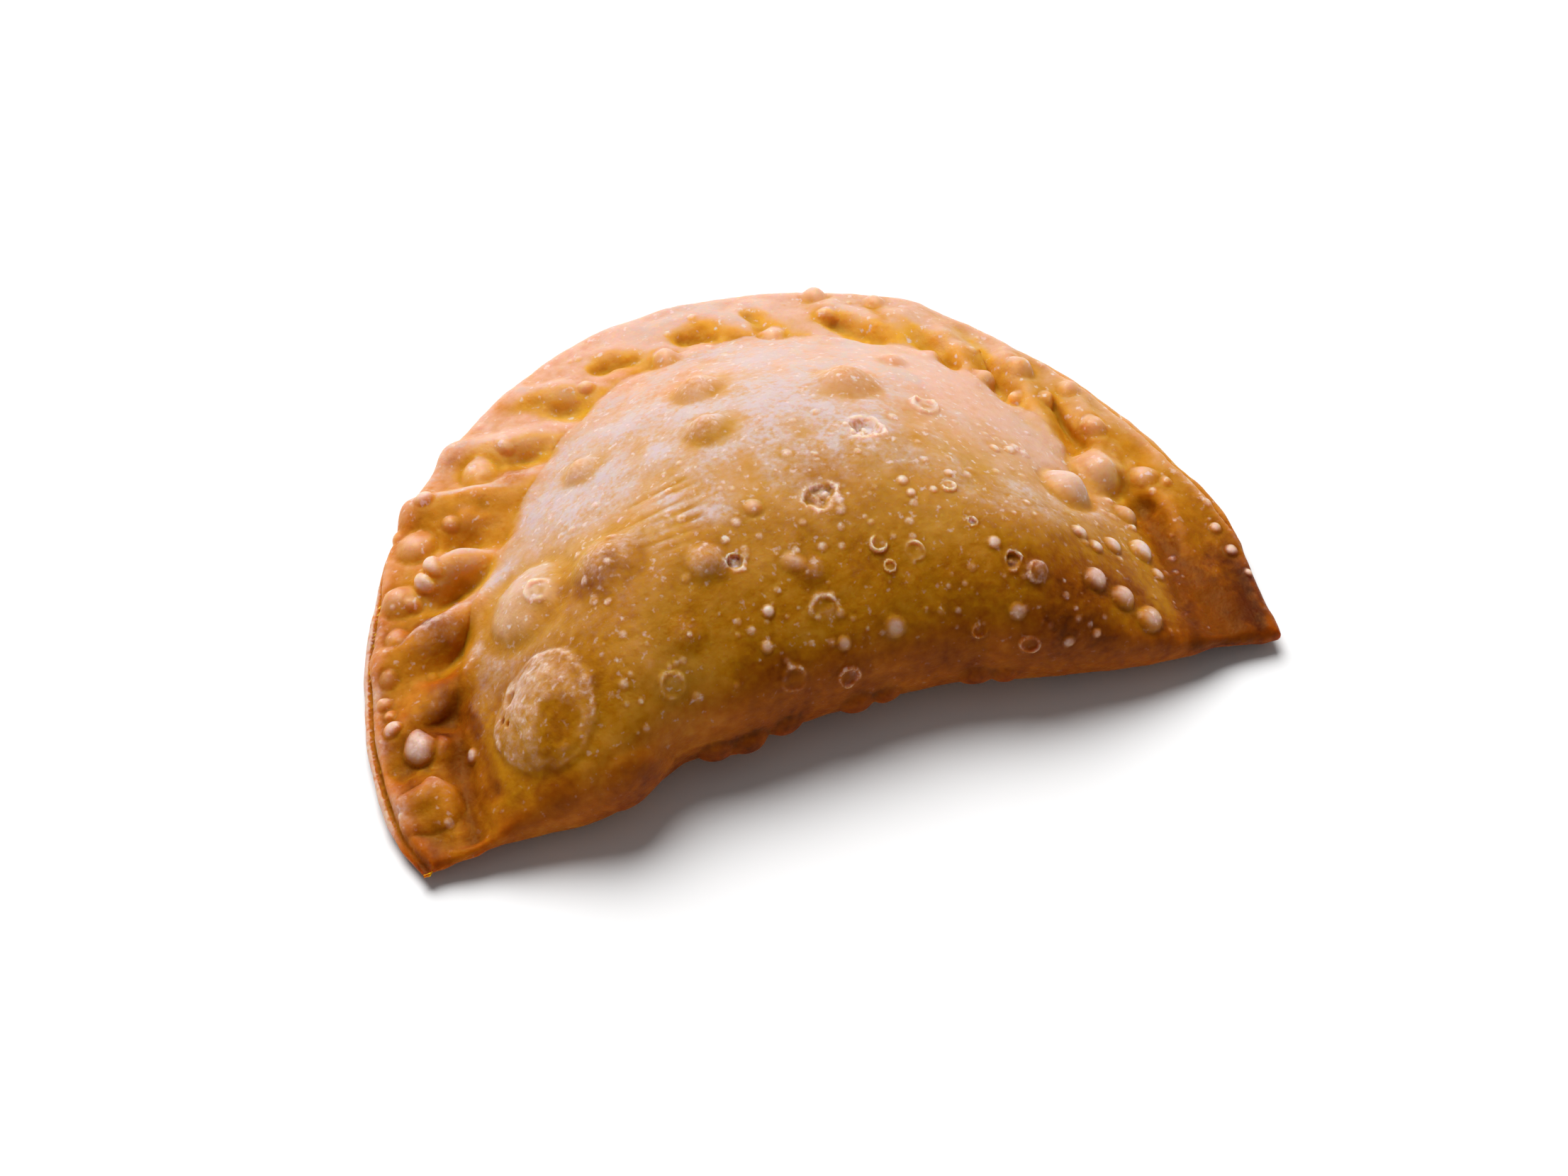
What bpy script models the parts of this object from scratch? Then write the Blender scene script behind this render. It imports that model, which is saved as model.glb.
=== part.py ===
"""A fried half-moon pasty: a disc of dough folded over its filling and crimped along the round edge."""

import math

import bpy
import numpy as np
from mathutils import Vector, kdtree
from mathutils.geometry import delaunay_2d_cdt

# Lengths are in millimetres until the mesh is made. X runs from tip to tip and Y from the fold
# back to the crimped rim, both measured from the middle of the dough disc. Z is up from the floor.
METRES_PER_MM = 0.001

# The dough disc once it is folded
RIM_HALF_LENGTH = 70.0
RIM_DEPTH = 79.3
RIM_RIGHT_END = -30.0
RIM_LEFT_END = 210.0
# Where the rim runs in or out of its even curve: degrees round from the right, outward, spread
RIM_WANDER = (
    (190.0, -1.4, 4.0),
    (174.0, 0.5, 10.0),
    (125.0, -1.0, 12.0),
    (57.0, 1.0, 8.0),
    (30.0, -0.6, 11.0),
    (9.0, 0.9, 6.0),
    (-4.0, -0.6, 6.0),
)

# The folded front
FOLD_AT_MIDDLE = -7.6
FOLD_AT_TIPS = -13.3
FOLD_STRAIGHT_FROM = 52.0
FOLD_HEIGHT_AT_TIPS = 2.9
FOLD_HEIGHT_AT_MIDDLE = 11.2
FOLD_HEIGHT_POWER = 2.2
FOLD_ROUND_AT_MIDDLE = 9.0
FOLD_ROUND_POWER = 2.0
HALF_LENGTH = 67.0
# Where the fold runs out or in of its even bow: distance along, outward, spread
FOLD_WANDER = (
    (-39.0, 1.2, 7.0),
    (-25.0, -1.7, 5.0),
    (18.0, -0.7, 8.0),
)

# The crimped rim: two layers pressed into one
LAYER = 1.7
EDGE_HEIGHT = 2.9
UPPER_EDGE_ROUND = 1.3
CREASE_HEIGHT = 6.4
CREASE_DROP_AT_TIPS = 2.0
CREASE_TIP_SPREAD = 30.0
FOLD_INFLUENCE = 16.0
RIM_WIDTH = 13.2
# Where the rim is wider or narrower: degrees round from the right, how much, spread
RIM_WIDTH_WANDER = (
    (137.0, 4.6, 28.0),
    (15.0, 1.5, 18.0),
    (195.0, -2.5, 10.0),
)
# Where the lower layer stands out past the upper one: how far, and the degrees between which it starts
LEDGE_LEFT = 1.2
LEDGE_LEFT_STARTS = (142.0, 156.0)
LEDGE_RIGHT = 1.7
LEDGE_RIGHT_STARTS = (62.0, 50.0)
LEDGE_RIGHT_ENDS = (2.0, 10.0)

# The filled belly
BELLY_HEIGHT = 30.0
BELLY_HEIGHT_AT_TIPS = 12.0
BELLY_POWER = 2.3
BELLY_PEAK = -3.0
BELLY_RISE_AT_TIPS = 30.0
BELLY_RISE_AT_BACK = 48.0
BELLY_RISE_POWER = 0.95
BELLY_FRONT_REACH = 26.0
BELLY_FRONT_REACH_AT_TIPS = 8.0
UNDERSIDE_RISE = 15.0
UNDERSIDE_RISE_POWER = 1.2
UNDERSIDE_FROM = 0.8
UNDERSIDE_REACH = 16.0
UNDERSIDE_REACH_AT_TIPS = 5.0

# Crimp marks: degrees round from the right, depth, length, slant off square, share of the rim width in
CRIMPS = (
    (177.0, 1.5, 8.0, -19.0, 0.50),
    (170.0, 2.4, 9.0, 25.0, 0.85),
    (160.5, 2.4, 9.0, 58.0, 0.90),
    (149.5, 3.0, 11.0, 50.0, 0.80),
    (141.5, 2.6, 8.5, 30.0, 0.72),
    (124.0, 3.0, 10.0, 48.0, 0.76),
    (113.5, 2.6, 9.0, 56.0, 0.80),
    (103.0, 2.0, 8.0, 64.0, 0.74),
    (90.0, 1.8, 7.5, 74.0, 0.82),
    (80.0, 1.3, 6.0, 40.0, 0.68),
    (66.0, 2.3, 11.0, 62.0, 0.80),
    (53.0, 2.2, 9.5, 66.0, 0.86),
    (43.5, 2.4, 12.0, 54.0, 0.78),
    (29.5, 2.6, 10.0, 66.0, 0.78),
    (20.0, 0.9, 6.0, 80.0, 0.40),
    (11.5, 1.6, 13.0, 80.0, 0.88),
)
CRIMP_HALF_WIDTH = 2.1
CRIMP_BANK = 0.35
CRIMP_BANK_LENGTH = 1.25
CRIMP_EDGE_FADE = 2.5
CRIMP_CREASE_FADE = 3.0

# Blisters on the top: X, Y, radius, height
BLISTERS = (
    (-43.5, -1.0, 8.3, 2.4),
    (-40.5, 22.5, 5.6, 1.9),
    (-29.0, 19.0, 6.5, 1.5),
    (-26.0, 42.5, 3.6, 0.9),
    (-16.0, 9.5, 4.4, 1.2),
    (-4.5, 49.5, 4.0, 1.0),
    (-7.0, 36.5, 3.2, 0.9),
    (16.5, 41.5, 5.6, 1.3),
    (44.0, 16.0, 3.5, 1.6),
    (53.0, 23.0, 4.0, 2.2),
    (40.5, -4.5, 2.2, 1.2),
    (44.5, -6.5, 2.1, 1.2),
    (47.5, -10.0, 2.2, 1.1),
    (22.5, 73.0, 2.2, 1.4),
    (-5.0, 67.0, 2.3, 1.2),
    (48.5, 46.5, 2.3, 1.1),
    (55.5, 31.5, 2.3, 1.2),
    (-52.0, 43.0, 2.9, 1.3),
    (-57.0, 33.0, 2.7, 1.3),
    (-61.5, 8.5, 2.4, 1.3),
    (-64.0, -3.0, 4.2, 1.3),
)
# Blisters under the fold: X, how far the sheet goes round from the fold, radius, height
FOLD_BLISTERS = (
    (-34.0, 1.0, 6.5, 1.3),
    (-17.0, -3.5, 3.4, 1.3),
    (-8.0, -3.0, 2.8, 1.0),
    (6.0, -3.0, 3.4, 1.3),
    (24.0, -2.0, 2.8, 1.0),
)
BLISTER_POWER = 0.8

# Mesh spacing over the sheet of dough, and how far past each blister or the rim the close mesh goes
BLISTER_SPACING = 1.25
RIM_SPACING = 1.75
BELLY_SPACING = 3.1
UNDERSIDE_SPACING = 4.4
BLISTER_MARGIN = 1.0
FOLD_BLISTER_MARGIN = 2.0
UNDER_FOLD_MARGIN = 4.0
RIM_MARGIN = 2.0
OUTLINE_STEP = 1.6
EDGE_ROWS = (0.7, 1.5, 2.3)
SHEET_HALF_LENGTH = 76.0
SHEET_FRONT = -22.0
SHEET_BACK = 84.0
ROW_CLEARANCE = 0.4
POINT_CLEARANCE = 0.62
SCATTER_SEED = 7
SCATTER_SHIFT = 0.12
HEXAGON_ROW = math.sqrt(0.75)
SMALLEST = 0.001
SAME_POINT = 1e-6

CRUST_COLOUR = (0.52, 0.23, 0.055, 1.0)
CRUST_ROUGHNESS = 0.45


def hill(value, centre, spread):
    """A rounded hill of height 1 at its centre."""
    return np.exp(-(((value - centre) / spread) ** 2))


def ease(share):
    """Goes from 0 to 1 with a level start and end."""
    share = np.clip(share, 0.0, 1.0)
    return share * share * (3.0 - 2.0 * share)


def between(value, start, end):
    """Eases from 0 at the start to 1 at the end."""
    return ease((value - start) / (end - start))


def round_over(inset, radius):
    """The height share of a rounded edge: 0 at the edge, 1 from one radius in."""
    short = 1.0 - np.clip(inset / radius, 0.0, 1.0)
    return np.sqrt(np.maximum(1.0 - short * short, 0.0))


def rolled(along, radius):
    """How far in a point lies in plan once the sheet has turned round an edge of this radius."""
    turn = np.clip(along / radius, 0.0, math.pi / 2)
    past = np.maximum(along - radius * math.pi / 2, 0.0)
    return radius * (1.0 - np.cos(turn)) + past


def roll_allowance(radius):
    """The extra sheet that a rounded edge of this radius takes up."""
    return radius * (math.pi / 2 - 1.0)


def rim_angle(x, y):
    """Degrees round the dough disc from its right end."""
    angle = np.degrees(np.arctan2(y / RIM_DEPTH, x / RIM_HALF_LENGTH))
    return np.where(angle < -90.0, angle + 360.0, angle)


def rim_reach(angle):
    """From the middle of the disc out to the edge of the rim."""
    turn = np.radians(angle)
    reach = np.hypot(RIM_HALF_LENGTH * np.cos(turn), RIM_DEPTH * np.sin(turn))
    for centre, outward, spread in RIM_WANDER:
        reach = reach + outward * hill(angle, centre, spread)
    return reach


def rim_width(angle):
    """From the edge in to the crease where the belly starts to rise."""
    return RIM_WIDTH + sum(wider * hill(angle, centre, spread) for centre, wider, spread in RIM_WIDTH_WANDER)


def toward_tips(x, power):
    """0 at the middle of the fold and 1 at the tips."""
    return np.clip(np.abs(x) / HALF_LENGTH, 0.0, 1.0) ** power


def from_tips(x, power, at_tips, at_middle):
    """A length that changes from the tips to the middle."""
    return at_tips + (at_middle - at_tips) * (1.0 - toward_tips(x, power))


def fold_line(x):
    """Where the front of the fold lies in plan."""
    line = FOLD_AT_MIDDLE + (FOLD_AT_TIPS - FOLD_AT_MIDDLE) * ease(np.abs(x) / FOLD_STRAIGHT_FROM)
    for centre, outward, spread in FOLD_WANDER:
        line = line - outward * hill(x, centre, spread)
    return line


def fold_height(x):
    """How high the foremost line of the fold runs."""
    return from_tips(x, FOLD_HEIGHT_POWER, FOLD_HEIGHT_AT_TIPS, FOLD_HEIGHT_AT_MIDDLE)


def fold_round(x):
    """The radius that the dough turns round at the fold."""
    return from_tips(x, FOLD_ROUND_POWER, LAYER, FOLD_ROUND_AT_MIDDLE)


def ledge(angle):
    """How far the lower layer stands out past the upper one."""
    right = between(angle, *LEDGE_RIGHT_STARTS) * between(angle, *LEDGE_RIGHT_ENDS)
    return LEDGE_LEFT * between(angle, *LEDGE_LEFT_STARTS) + LEDGE_RIGHT * right


def parting(x, y, inset, behind):
    """Height of the surface where the two layers meet."""
    angle = rim_angle(x, y)
    at_tips = hill(angle, 0.0, CREASE_TIP_SPREAD) + hill(angle, 180.0, CREASE_TIP_SPREAD)
    crease = CREASE_HEIGHT - CREASE_DROP_AT_TIPS * at_tips
    inner = crease + (fold_height(x) - crease) * hill(behind, 0.0, FOLD_INFLUENCE)
    share = np.clip(inset / rim_width(angle), 0.0, 1.0)
    return EDGE_HEIGHT + (inner - EDGE_HEIGHT) * np.sin(share * math.pi / 2)


def edge_faces(angle, inset, behind):
    """Heights of the upper and lower faces above the parting, with the stepped edge of the two layers."""
    stepped = ease(ledge(angle) / LEDGE_LEFT)
    front = round_over(behind, LAYER)
    plain = LAYER * np.minimum(round_over(inset, LAYER), front)
    lower = LAYER / 2 * np.minimum(round_over(inset, LAYER / 2), front)
    upper = LAYER * np.minimum(round_over(inset - ledge(angle), UPPER_EDGE_ROUND), front)
    drop = LAYER / 2 * front
    above = (1.0 - stepped) * plain + stepped * (upper + lower - drop)
    below = (1.0 - stepped) * -plain + stepped * (-lower - drop)
    return above, below


def upper_face(x, y, inset, behind):
    """Height of the top of the dough before it is crimped."""
    angle = rim_angle(x, y)
    above, _ = edge_faces(angle, inset, behind)
    rim = parting(x, y, inset, behind) + above
    belly = from_tips(x - BELLY_PEAK, BELLY_POWER, BELLY_HEIGHT_AT_TIPS, BELLY_HEIGHT)
    round_back = np.clip(np.sin(np.radians(angle)), 0.0, 1.0) ** 2
    rise = BELLY_RISE_AT_TIPS + (BELLY_RISE_AT_BACK - BELLY_RISE_AT_TIPS) * round_back
    past_crease = np.clip((inset - rim_width(angle)) / rise, 0.0, 1.0)
    from_rim = np.sin(past_crease * math.pi / 2) ** BELLY_RISE_POWER
    reach = from_tips(x, FOLD_ROUND_POWER, BELLY_FRONT_REACH_AT_TIPS, BELLY_FRONT_REACH)
    return rim + np.maximum(belly - rim, 0.0) * from_rim * round_over(behind, reach)


def lower_face(x, y, inset, behind):
    """Height of the underside, level where the pasty rests."""
    angle = rim_angle(x, y)
    _, below = edge_faces(angle, inset, behind)
    rim = parting(x, y, inset, behind) + below
    past_crease = np.clip((inset - UNDERSIDE_FROM * rim_width(angle)) / UNDERSIDE_RISE, 0.0, 1.0)
    from_rim = np.sin(past_crease * math.pi / 2) ** UNDERSIDE_RISE_POWER
    reach = from_tips(x, FOLD_ROUND_POWER, UNDERSIDE_REACH_AT_TIPS, UNDERSIDE_REACH)
    return rim * (1.0 - from_rim * round_over(behind, reach))


def crimped(x, y, inset):
    """How far the crimp marks push the top of the rim down, with the dough they squeeze up between them."""
    angle = rim_angle(x, y)
    width = rim_width(angle)
    pushed = np.zeros_like(x)
    for centre, depth, length, slant, share in CRIMPS:
        round_rim = np.radians(angle - centre) * (rim_reach(angle) - inset)
        inward = inset - share * width
        lean, turn = np.cos(np.radians(slant)), np.sin(np.radians(slant))
        along = inward * lean - round_rim * turn
        across = inward * turn + round_rim * lean
        cut = depth * hill(across, 0.0, CRIMP_HALF_WIDTH) * hill(along, 0.0, length / 2)
        bank = hill(np.abs(across), 2.0 * CRIMP_HALF_WIDTH, CRIMP_HALF_WIDTH)
        pushed += CRIMP_BANK * depth * bank * hill(along, 0.0, CRIMP_BANK_LENGTH * length / 2) - cut
    return pushed * ease(inset / CRIMP_EDGE_FADE) * (1.0 - ease((inset - width) / CRIMP_CREASE_FADE))


def laid(x, y):
    """Where the flat sheet lies once its edges are rounded: X, Y, inset from the rim, way past the fold."""
    turn = fold_round(x)
    along = np.maximum(y - fold_line(x) + roll_allowance(turn), 0.0)
    behind = rolled(along, turn)
    y = fold_line(x) + behind
    reach = rim_reach(rim_angle(x, y))
    out = np.maximum(np.hypot(x, y), SMALLEST)
    inset = rolled(np.maximum(reach + roll_allowance(LAYER) - out, 0.0), LAYER)
    scale = (reach - inset) / out
    return x * scale, y * scale, inset, behind


def top_points(sheet):
    """The crimped top of the dough over these points of the sheet."""
    x, y, inset, behind = laid(sheet[:, 0], sheet[:, 1])
    return np.column_stack([x, y, upper_face(x, y, inset, behind) + crimped(x, y, inset)])


def underside_points(sheet):
    """The underside of the dough over these points of the sheet."""
    x, y, inset, behind = laid(sheet[:, 0], sheet[:, 1])
    return np.column_stack([x, y, lower_face(x, y, inset, behind)])


def sheet_front(x):
    """The line of the fold on the flat sheet."""
    return fold_line(x) - roll_allowance(fold_round(x))


def rim_row(along, angles):
    """A row of sheet points this far in from the edge of the rim."""
    turn = np.radians(angles)
    ray = np.column_stack([RIM_HALF_LENGTH * np.cos(turn), RIM_DEPTH * np.sin(turn)])
    ray /= np.linalg.norm(ray, axis=1)[:, None]
    row = ray * (rim_reach(angles) + roll_allowance(LAYER) - along)[:, None]
    return row[row[:, 1] > sheet_front(row[:, 0]) + ROW_CLEARANCE * along]


def rim_angles():
    """Even steps round the rim from the right tip to the left."""
    length = math.radians(RIM_LEFT_END - RIM_RIGHT_END) * RIM_HALF_LENGTH
    return np.linspace(RIM_RIGHT_END, RIM_LEFT_END, int(length / OUTLINE_STEP))


def sheet_outline():
    """The sheet's edge round the rim from the right tip to the left, then back along the fold."""
    rim = rim_row(0.0, rim_angles())
    left, right = rim[-1, 0], rim[0, 0]
    x = np.linspace(left, right, int((right - left) / OUTLINE_STEP) + 1)[1:-1]
    return np.vstack([rim, np.column_stack([x, sheet_front(x)])])


def edge_rows():
    """Rows of sheet points that carry the rounded and stepped edge of the rim."""
    return np.vstack([rim_row(along, rim_angles()) for along in EDGE_ROWS])


def top_spacing(sheet):
    """Point spacing wanted on the top: close on blisters and along the crimped rim, wide elsewhere."""
    x, y, inset, _ = laid(sheet[:, 0], sheet[:, 1])
    rim = inset < rim_width(rim_angle(x, y)) + RIM_MARGIN
    spacing = np.where(rim, RIM_SPACING, BELLY_SPACING)
    for across, back, radius, _ in BLISTERS:
        near = np.hypot(x - across, y - back) < radius + BLISTER_MARGIN
        spacing = np.where(near, BLISTER_SPACING, spacing)
    for across, _, radius, _ in FOLD_BLISTERS:
        near = np.hypot(x - across, sheet[:, 1] - sheet_front(x)) < radius + FOLD_BLISTER_MARGIN
        spacing = np.where(near, BLISTER_SPACING, spacing)
    return spacing


def underside_spacing(sheet):
    """Point spacing wanted underneath: close on the blisters by the fold, wide elsewhere."""
    spacing = np.full(len(sheet), UNDERSIDE_SPACING)
    for across, _, radius, _ in FOLD_BLISTERS:
        away = np.hypot(sheet[:, 0] - across, sheet[:, 1] - sheet_front(sheet[:, 0]))
        near = away < radius + UNDER_FOLD_MARGIN
        spacing = np.where(near, BLISTER_SPACING, spacing)
    return spacing


def nearness(points, places):
    """How far each place is from the nearest of the points."""
    tree = kdtree.KDTree(len(points))
    for index, (x, y) in enumerate(points):
        tree.insert((x, y, 0.0), index)
    tree.balance()
    return np.array([tree.find((x, y, 0.0))[2] for x, y in places])


def scattered(taken, spacing_wanted):
    """Points over the sheet at the spacing wanted, finest first, clear of each other and of those taken."""
    chance = np.random.default_rng(SCATTER_SEED)
    chosen = [taken]
    for spacing in (BLISTER_SPACING, RIM_SPACING, BELLY_SPACING, UNDERSIDE_SPACING):
        rows = np.arange(SHEET_FRONT, SHEET_BACK, spacing * HEXAGON_ROW)
        columns = np.arange(-SHEET_HALF_LENGTH, SHEET_HALF_LENGTH, spacing)
        x, y = np.meshgrid(columns, rows)
        x[1::2] += spacing / 2
        grid = np.column_stack([x.ravel(), y.ravel()])
        grid += chance.uniform(-SCATTER_SHIFT, SCATTER_SHIFT, grid.shape) * spacing
        _, _, inset, behind = laid(grid[:, 0], grid[:, 1])
        kept = (inset > 0.0) & (behind > 0.0) & (spacing_wanted(grid) == spacing)
        near = nearness(np.vstack(chosen), grid[kept])
        chosen.append(grid[kept][near > POINT_CLEARANCE * spacing])
    return np.vstack(chosen[1:])


def triangles(outline, inner):
    """The sheet inside its outline as triangles of the given points."""
    points = [Vector(point) for point in np.vstack([outline, inner])]
    count = len(outline)
    edges = [(index, (index + 1) % count) for index in range(count)]
    _, _, faces, sources, _, _ = delaunay_2d_cdt(points, edges, [], 1, SAME_POINT)
    return np.array([[sources[corner][0] for corner in face] for face in faces])


def outward(points, faces):
    """The outward direction at each point."""
    corners = points[faces]
    across = np.cross(corners[:, 1] - corners[:, 0], corners[:, 2] - corners[:, 0])
    total = np.zeros_like(points)
    for corner in range(3):
        np.add.at(total, faces[:, corner], across)
    return total / np.linalg.norm(total, axis=1)[:, None]


def blister_middles():
    """Where each blister sits on the dough, with its radius and height."""
    places = []
    for x, y, radius, height in BLISTERS:
        place = np.array([[x, y]])
        places.append((top_points(place)[0], radius, height))
    for x, round_fold, radius, height in FOLD_BLISTERS:
        place = np.array([[x, sheet_front(np.array(x)) + abs(round_fold)]])
        face = top_points(place) if round_fold > 0.0 else underside_points(place)
        places.append((face[0], radius, height))
    return places


def blistered(points, faces):
    """The dough with its blisters puffed out."""
    swelling = np.zeros(len(points))
    for middle, radius, height in blister_middles():
        share = np.linalg.norm(points - middle, axis=1) / radius
        swelling += height * np.clip(1.0 - share * share, 0.0, 1.0) ** BLISTER_POWER
    return points + outward(points, faces) * swelling[:, None]


def pasty_shape():
    """Points and triangles of the whole pasty: its top and its underside, joined round the edge."""
    outline = sheet_outline()
    rows = edge_rows()
    top = np.vstack([rows, scattered(np.vstack([outline, rows]), top_spacing)])
    base = scattered(outline, underside_spacing)
    top_faces = triangles(outline, top)
    base_faces = triangles(outline, base)[:, ::-1]
    base_faces = np.where(base_faces < len(outline), base_faces, base_faces + len(top))
    points = np.vstack([top_points(np.vstack([outline, top])), underside_points(base)])
    faces = np.vstack([top_faces, base_faces])
    return blistered(points, faces), faces


def crust_material():
    """Browned, slightly oily crust."""
    material = bpy.data.materials.new("browned_crust")
    material.use_nodes = True
    surface = material.node_tree.nodes["Principled BSDF"]
    surface.inputs["Base Color"].default_value = CRUST_COLOUR
    surface.inputs["Roughness"].default_value = CRUST_ROUGHNESS
    surface.inputs["Metallic"].default_value = 0.0
    return material


def build():
    """Clears the scene and makes the pasty over the origin, resting on the floor."""
    for item in list(bpy.data.objects):
        bpy.data.objects.remove(item)
    points, faces = pasty_shape()
    middle = (points.min(axis=0) + points.max(axis=0)) / 2
    middle[2] = 0.0
    placed = (points - middle) * METRES_PER_MM
    mesh = bpy.data.meshes.new("pasty")
    mesh.from_pydata(placed.tolist(), [], faces.tolist())
    mesh.materials.append(crust_material())
    pasty = bpy.data.objects.new("pasty", mesh)
    bpy.context.scene.collection.objects.link(pasty)


build()
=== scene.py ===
"""A fried half-moon pasty with a crimped rim and blistered dough, on a pale floor."""

import math

import bpy
import numpy as np
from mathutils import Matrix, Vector, kdtree
from mathutils.geometry import delaunay_2d_cdt


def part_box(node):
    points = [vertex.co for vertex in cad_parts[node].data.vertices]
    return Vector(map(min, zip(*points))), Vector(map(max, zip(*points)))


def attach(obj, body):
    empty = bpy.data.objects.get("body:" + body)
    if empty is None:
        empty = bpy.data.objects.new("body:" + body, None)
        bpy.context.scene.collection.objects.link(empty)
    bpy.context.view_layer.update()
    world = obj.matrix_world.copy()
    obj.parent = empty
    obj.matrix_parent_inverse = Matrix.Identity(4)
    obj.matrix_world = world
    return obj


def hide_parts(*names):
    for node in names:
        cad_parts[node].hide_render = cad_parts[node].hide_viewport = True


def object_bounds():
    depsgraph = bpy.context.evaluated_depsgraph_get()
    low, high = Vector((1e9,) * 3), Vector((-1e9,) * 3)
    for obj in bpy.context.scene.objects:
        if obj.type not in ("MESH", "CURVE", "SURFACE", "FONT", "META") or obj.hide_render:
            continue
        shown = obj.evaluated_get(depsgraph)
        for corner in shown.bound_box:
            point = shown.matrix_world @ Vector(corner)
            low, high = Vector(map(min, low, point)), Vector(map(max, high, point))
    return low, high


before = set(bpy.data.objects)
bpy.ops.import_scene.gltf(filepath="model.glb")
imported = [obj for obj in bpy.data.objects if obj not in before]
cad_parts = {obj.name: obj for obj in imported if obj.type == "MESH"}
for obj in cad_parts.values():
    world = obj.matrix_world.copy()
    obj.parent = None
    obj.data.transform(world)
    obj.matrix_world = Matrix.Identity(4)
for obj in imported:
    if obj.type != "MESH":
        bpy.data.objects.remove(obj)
cad_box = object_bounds()

# The dough's lengths are in its own millimetres, and the frame's box sizes them. X runs from tip to tip
# and Y from the fold back to the crimped rim, both from the middle of the dough disc, and Z is up.
TIP_TO_TIP = 140.65
TIPS_MIDDLE = -0.05

# The dough disc once it is folded
RIM_HALF_LENGTH = 70
RIM_DEPTH = 79.3
RIM_RIGHT_END = -30
RIM_LEFT_END = 210
# Where the rim runs in or out of its even curve: degrees round from the right, outward, spread
RIM_WANDER = (
    (190, -1.4, 4), (174, 0.5, 10), (125, -1, 12), (57, 1, 8), (30, -0.6, 11), (9, 0.9, 6), (-4, -0.6, 6),
)

# The folded front
FOLD_AT_MIDDLE = -7.6
FOLD_AT_TIPS = -13.3
FOLD_STRAIGHT_FROM = 52
HALF_LENGTH = 67
# Where the fold runs out or in of its even bow: distance along, outward, spread
FOLD_WANDER = ((-39, 1.2, 7), (-25, -1.7, 5), (18, -0.7, 8))

# The crimped rim: two layers pressed into one
LAYER = 1.7
EDGE_HEIGHT = 2.9
UPPER_EDGE_ROUND = 1.3
CREASE_HEIGHT = 6.4
CREASE_DROP_AT_TIPS = 2
CREASE_TIP_SPREAD = 30
FOLD_INFLUENCE = 16
RIM_WIDTH = 13.2
# Where the rim is wider or narrower: degrees round from the right, how much, spread
RIM_WIDTH_WANDER = ((137, 4.6, 28), (15, 1.5, 18), (195, -2.5, 10))
# Where the lower layer stands out past the upper one: how far, and between which degrees it starts
LEDGE_LEFT = 1.2
LEDGE_LEFT_STARTS = (142, 156)
LEDGE_RIGHT = 1.7
LEDGE_RIGHT_STARTS = (62, 50)
LEDGE_RIGHT_ENDS = (2, 10)
# The groove where the layers part, which starts this far behind the fold
GROOVE_STARTS = (5, 14)
GROOVE_HALF_WIDTH = 0.3
GROOVE_DEPTH = 0.5
GROOVE_BROWNING = 0.12
# The lower layer is hazy from this far out toward the left tip
HAZY_LOWER_LAYER = (20, 40)
LOWER_LAYER_HAZE = 0.8

# Lengths that change from the tips to the middle: the power of the change, then the length at each
FOLD_HEIGHT = (2.2, 2.9, 11.2)
FOLD_ROUND = (2, 1.7, 9)
BELLY_HEIGHT = (2.3, 12, 30)
BELLY_FRONT_REACH = (2, 8, 26)
UNDERSIDE_REACH = (2, 5, 16)

# The filled belly
BELLY_PEAK = -3
BELLY_RISE_AT_TIPS = 30
BELLY_RISE_AT_BACK = 48
BELLY_RISE_POWER = 0.95
UNDERSIDE_RISE = 15
UNDERSIDE_RISE_POWER = 1.2
UNDERSIDE_FROM = 0.8

# Crimp marks: degrees round from the right, depth, length, slant, share of the rim width in
CRIMPS = (
    (177, 1.5, 8, -19, 0.5), (170, 2.4, 9, 25, 0.85), (160.5, 2.4, 9, 58, 0.9), (149.5, 3, 11, 50, 0.8),
    (141.5, 2.6, 8.5, 30, 0.72), (124, 2, 10, 48, 0.76), (113.5, 1.7, 9, 56, 0.8),
    (103, 1.3, 8, 64, 0.74), (90, 1.2, 7.5, 74, 0.82), (80, 1, 6, 40, 0.68), (66, 1.5, 11, 62, 0.8),
    (53, 1.6, 9.5, 66, 0.86), (43.5, 2.4, 12, 54, 0.78), (29.5, 2.6, 10, 66, 0.78), (20, 0.9, 6, 80, 0.4),
    (11.5, 1.6, 13, 80, 0.88),
)
CRIMP_HALF_WIDTH = 2.1
CRIMP_BANK = 0.35
CRIMP_BANK_LENGTH = 1.25
CRIMP_EDGE_FADE = 2.5
CRIMP_CREASE_FADE = 4.5

# How much round blisters stray from a true circle, and the grains in broken ones
WOBBLE = 0.13
WOBBLE_SIZE = 2.3
WOBBLE_REACH = 3
GRAIN_SIZE = 0.8
# Blisters on the top, each X, Y, radius, height. Swellings are broad and low.
SWELLINGS = (
    (-29.3, 17.5, 7.6, 2.4), (-26, 42.5, 3.8, 1.7), (-16, 10, 4.2, 1.8), (-5, 49, 5, 2.2),
    (-7.5, 36, 4.4, 2.1), (16.5, 40.5, 6.4, 2.6), (-1.5, 5, 3.2, 0.8), (31.5, -2.5, 2.4, 0.8),
    (-22, 1, 4, 0.7), (27, 48.5, 3, 1), (35.5, 52.5, 2.8, 1.2), (-13, 65.5, 3.6, 0.9),
    (0.5, 66.5, 3.4, 0.8),
)
SWELLING_BROWNING = 0.1
SWELLING_HAZE_LOST = 0.5
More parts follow.
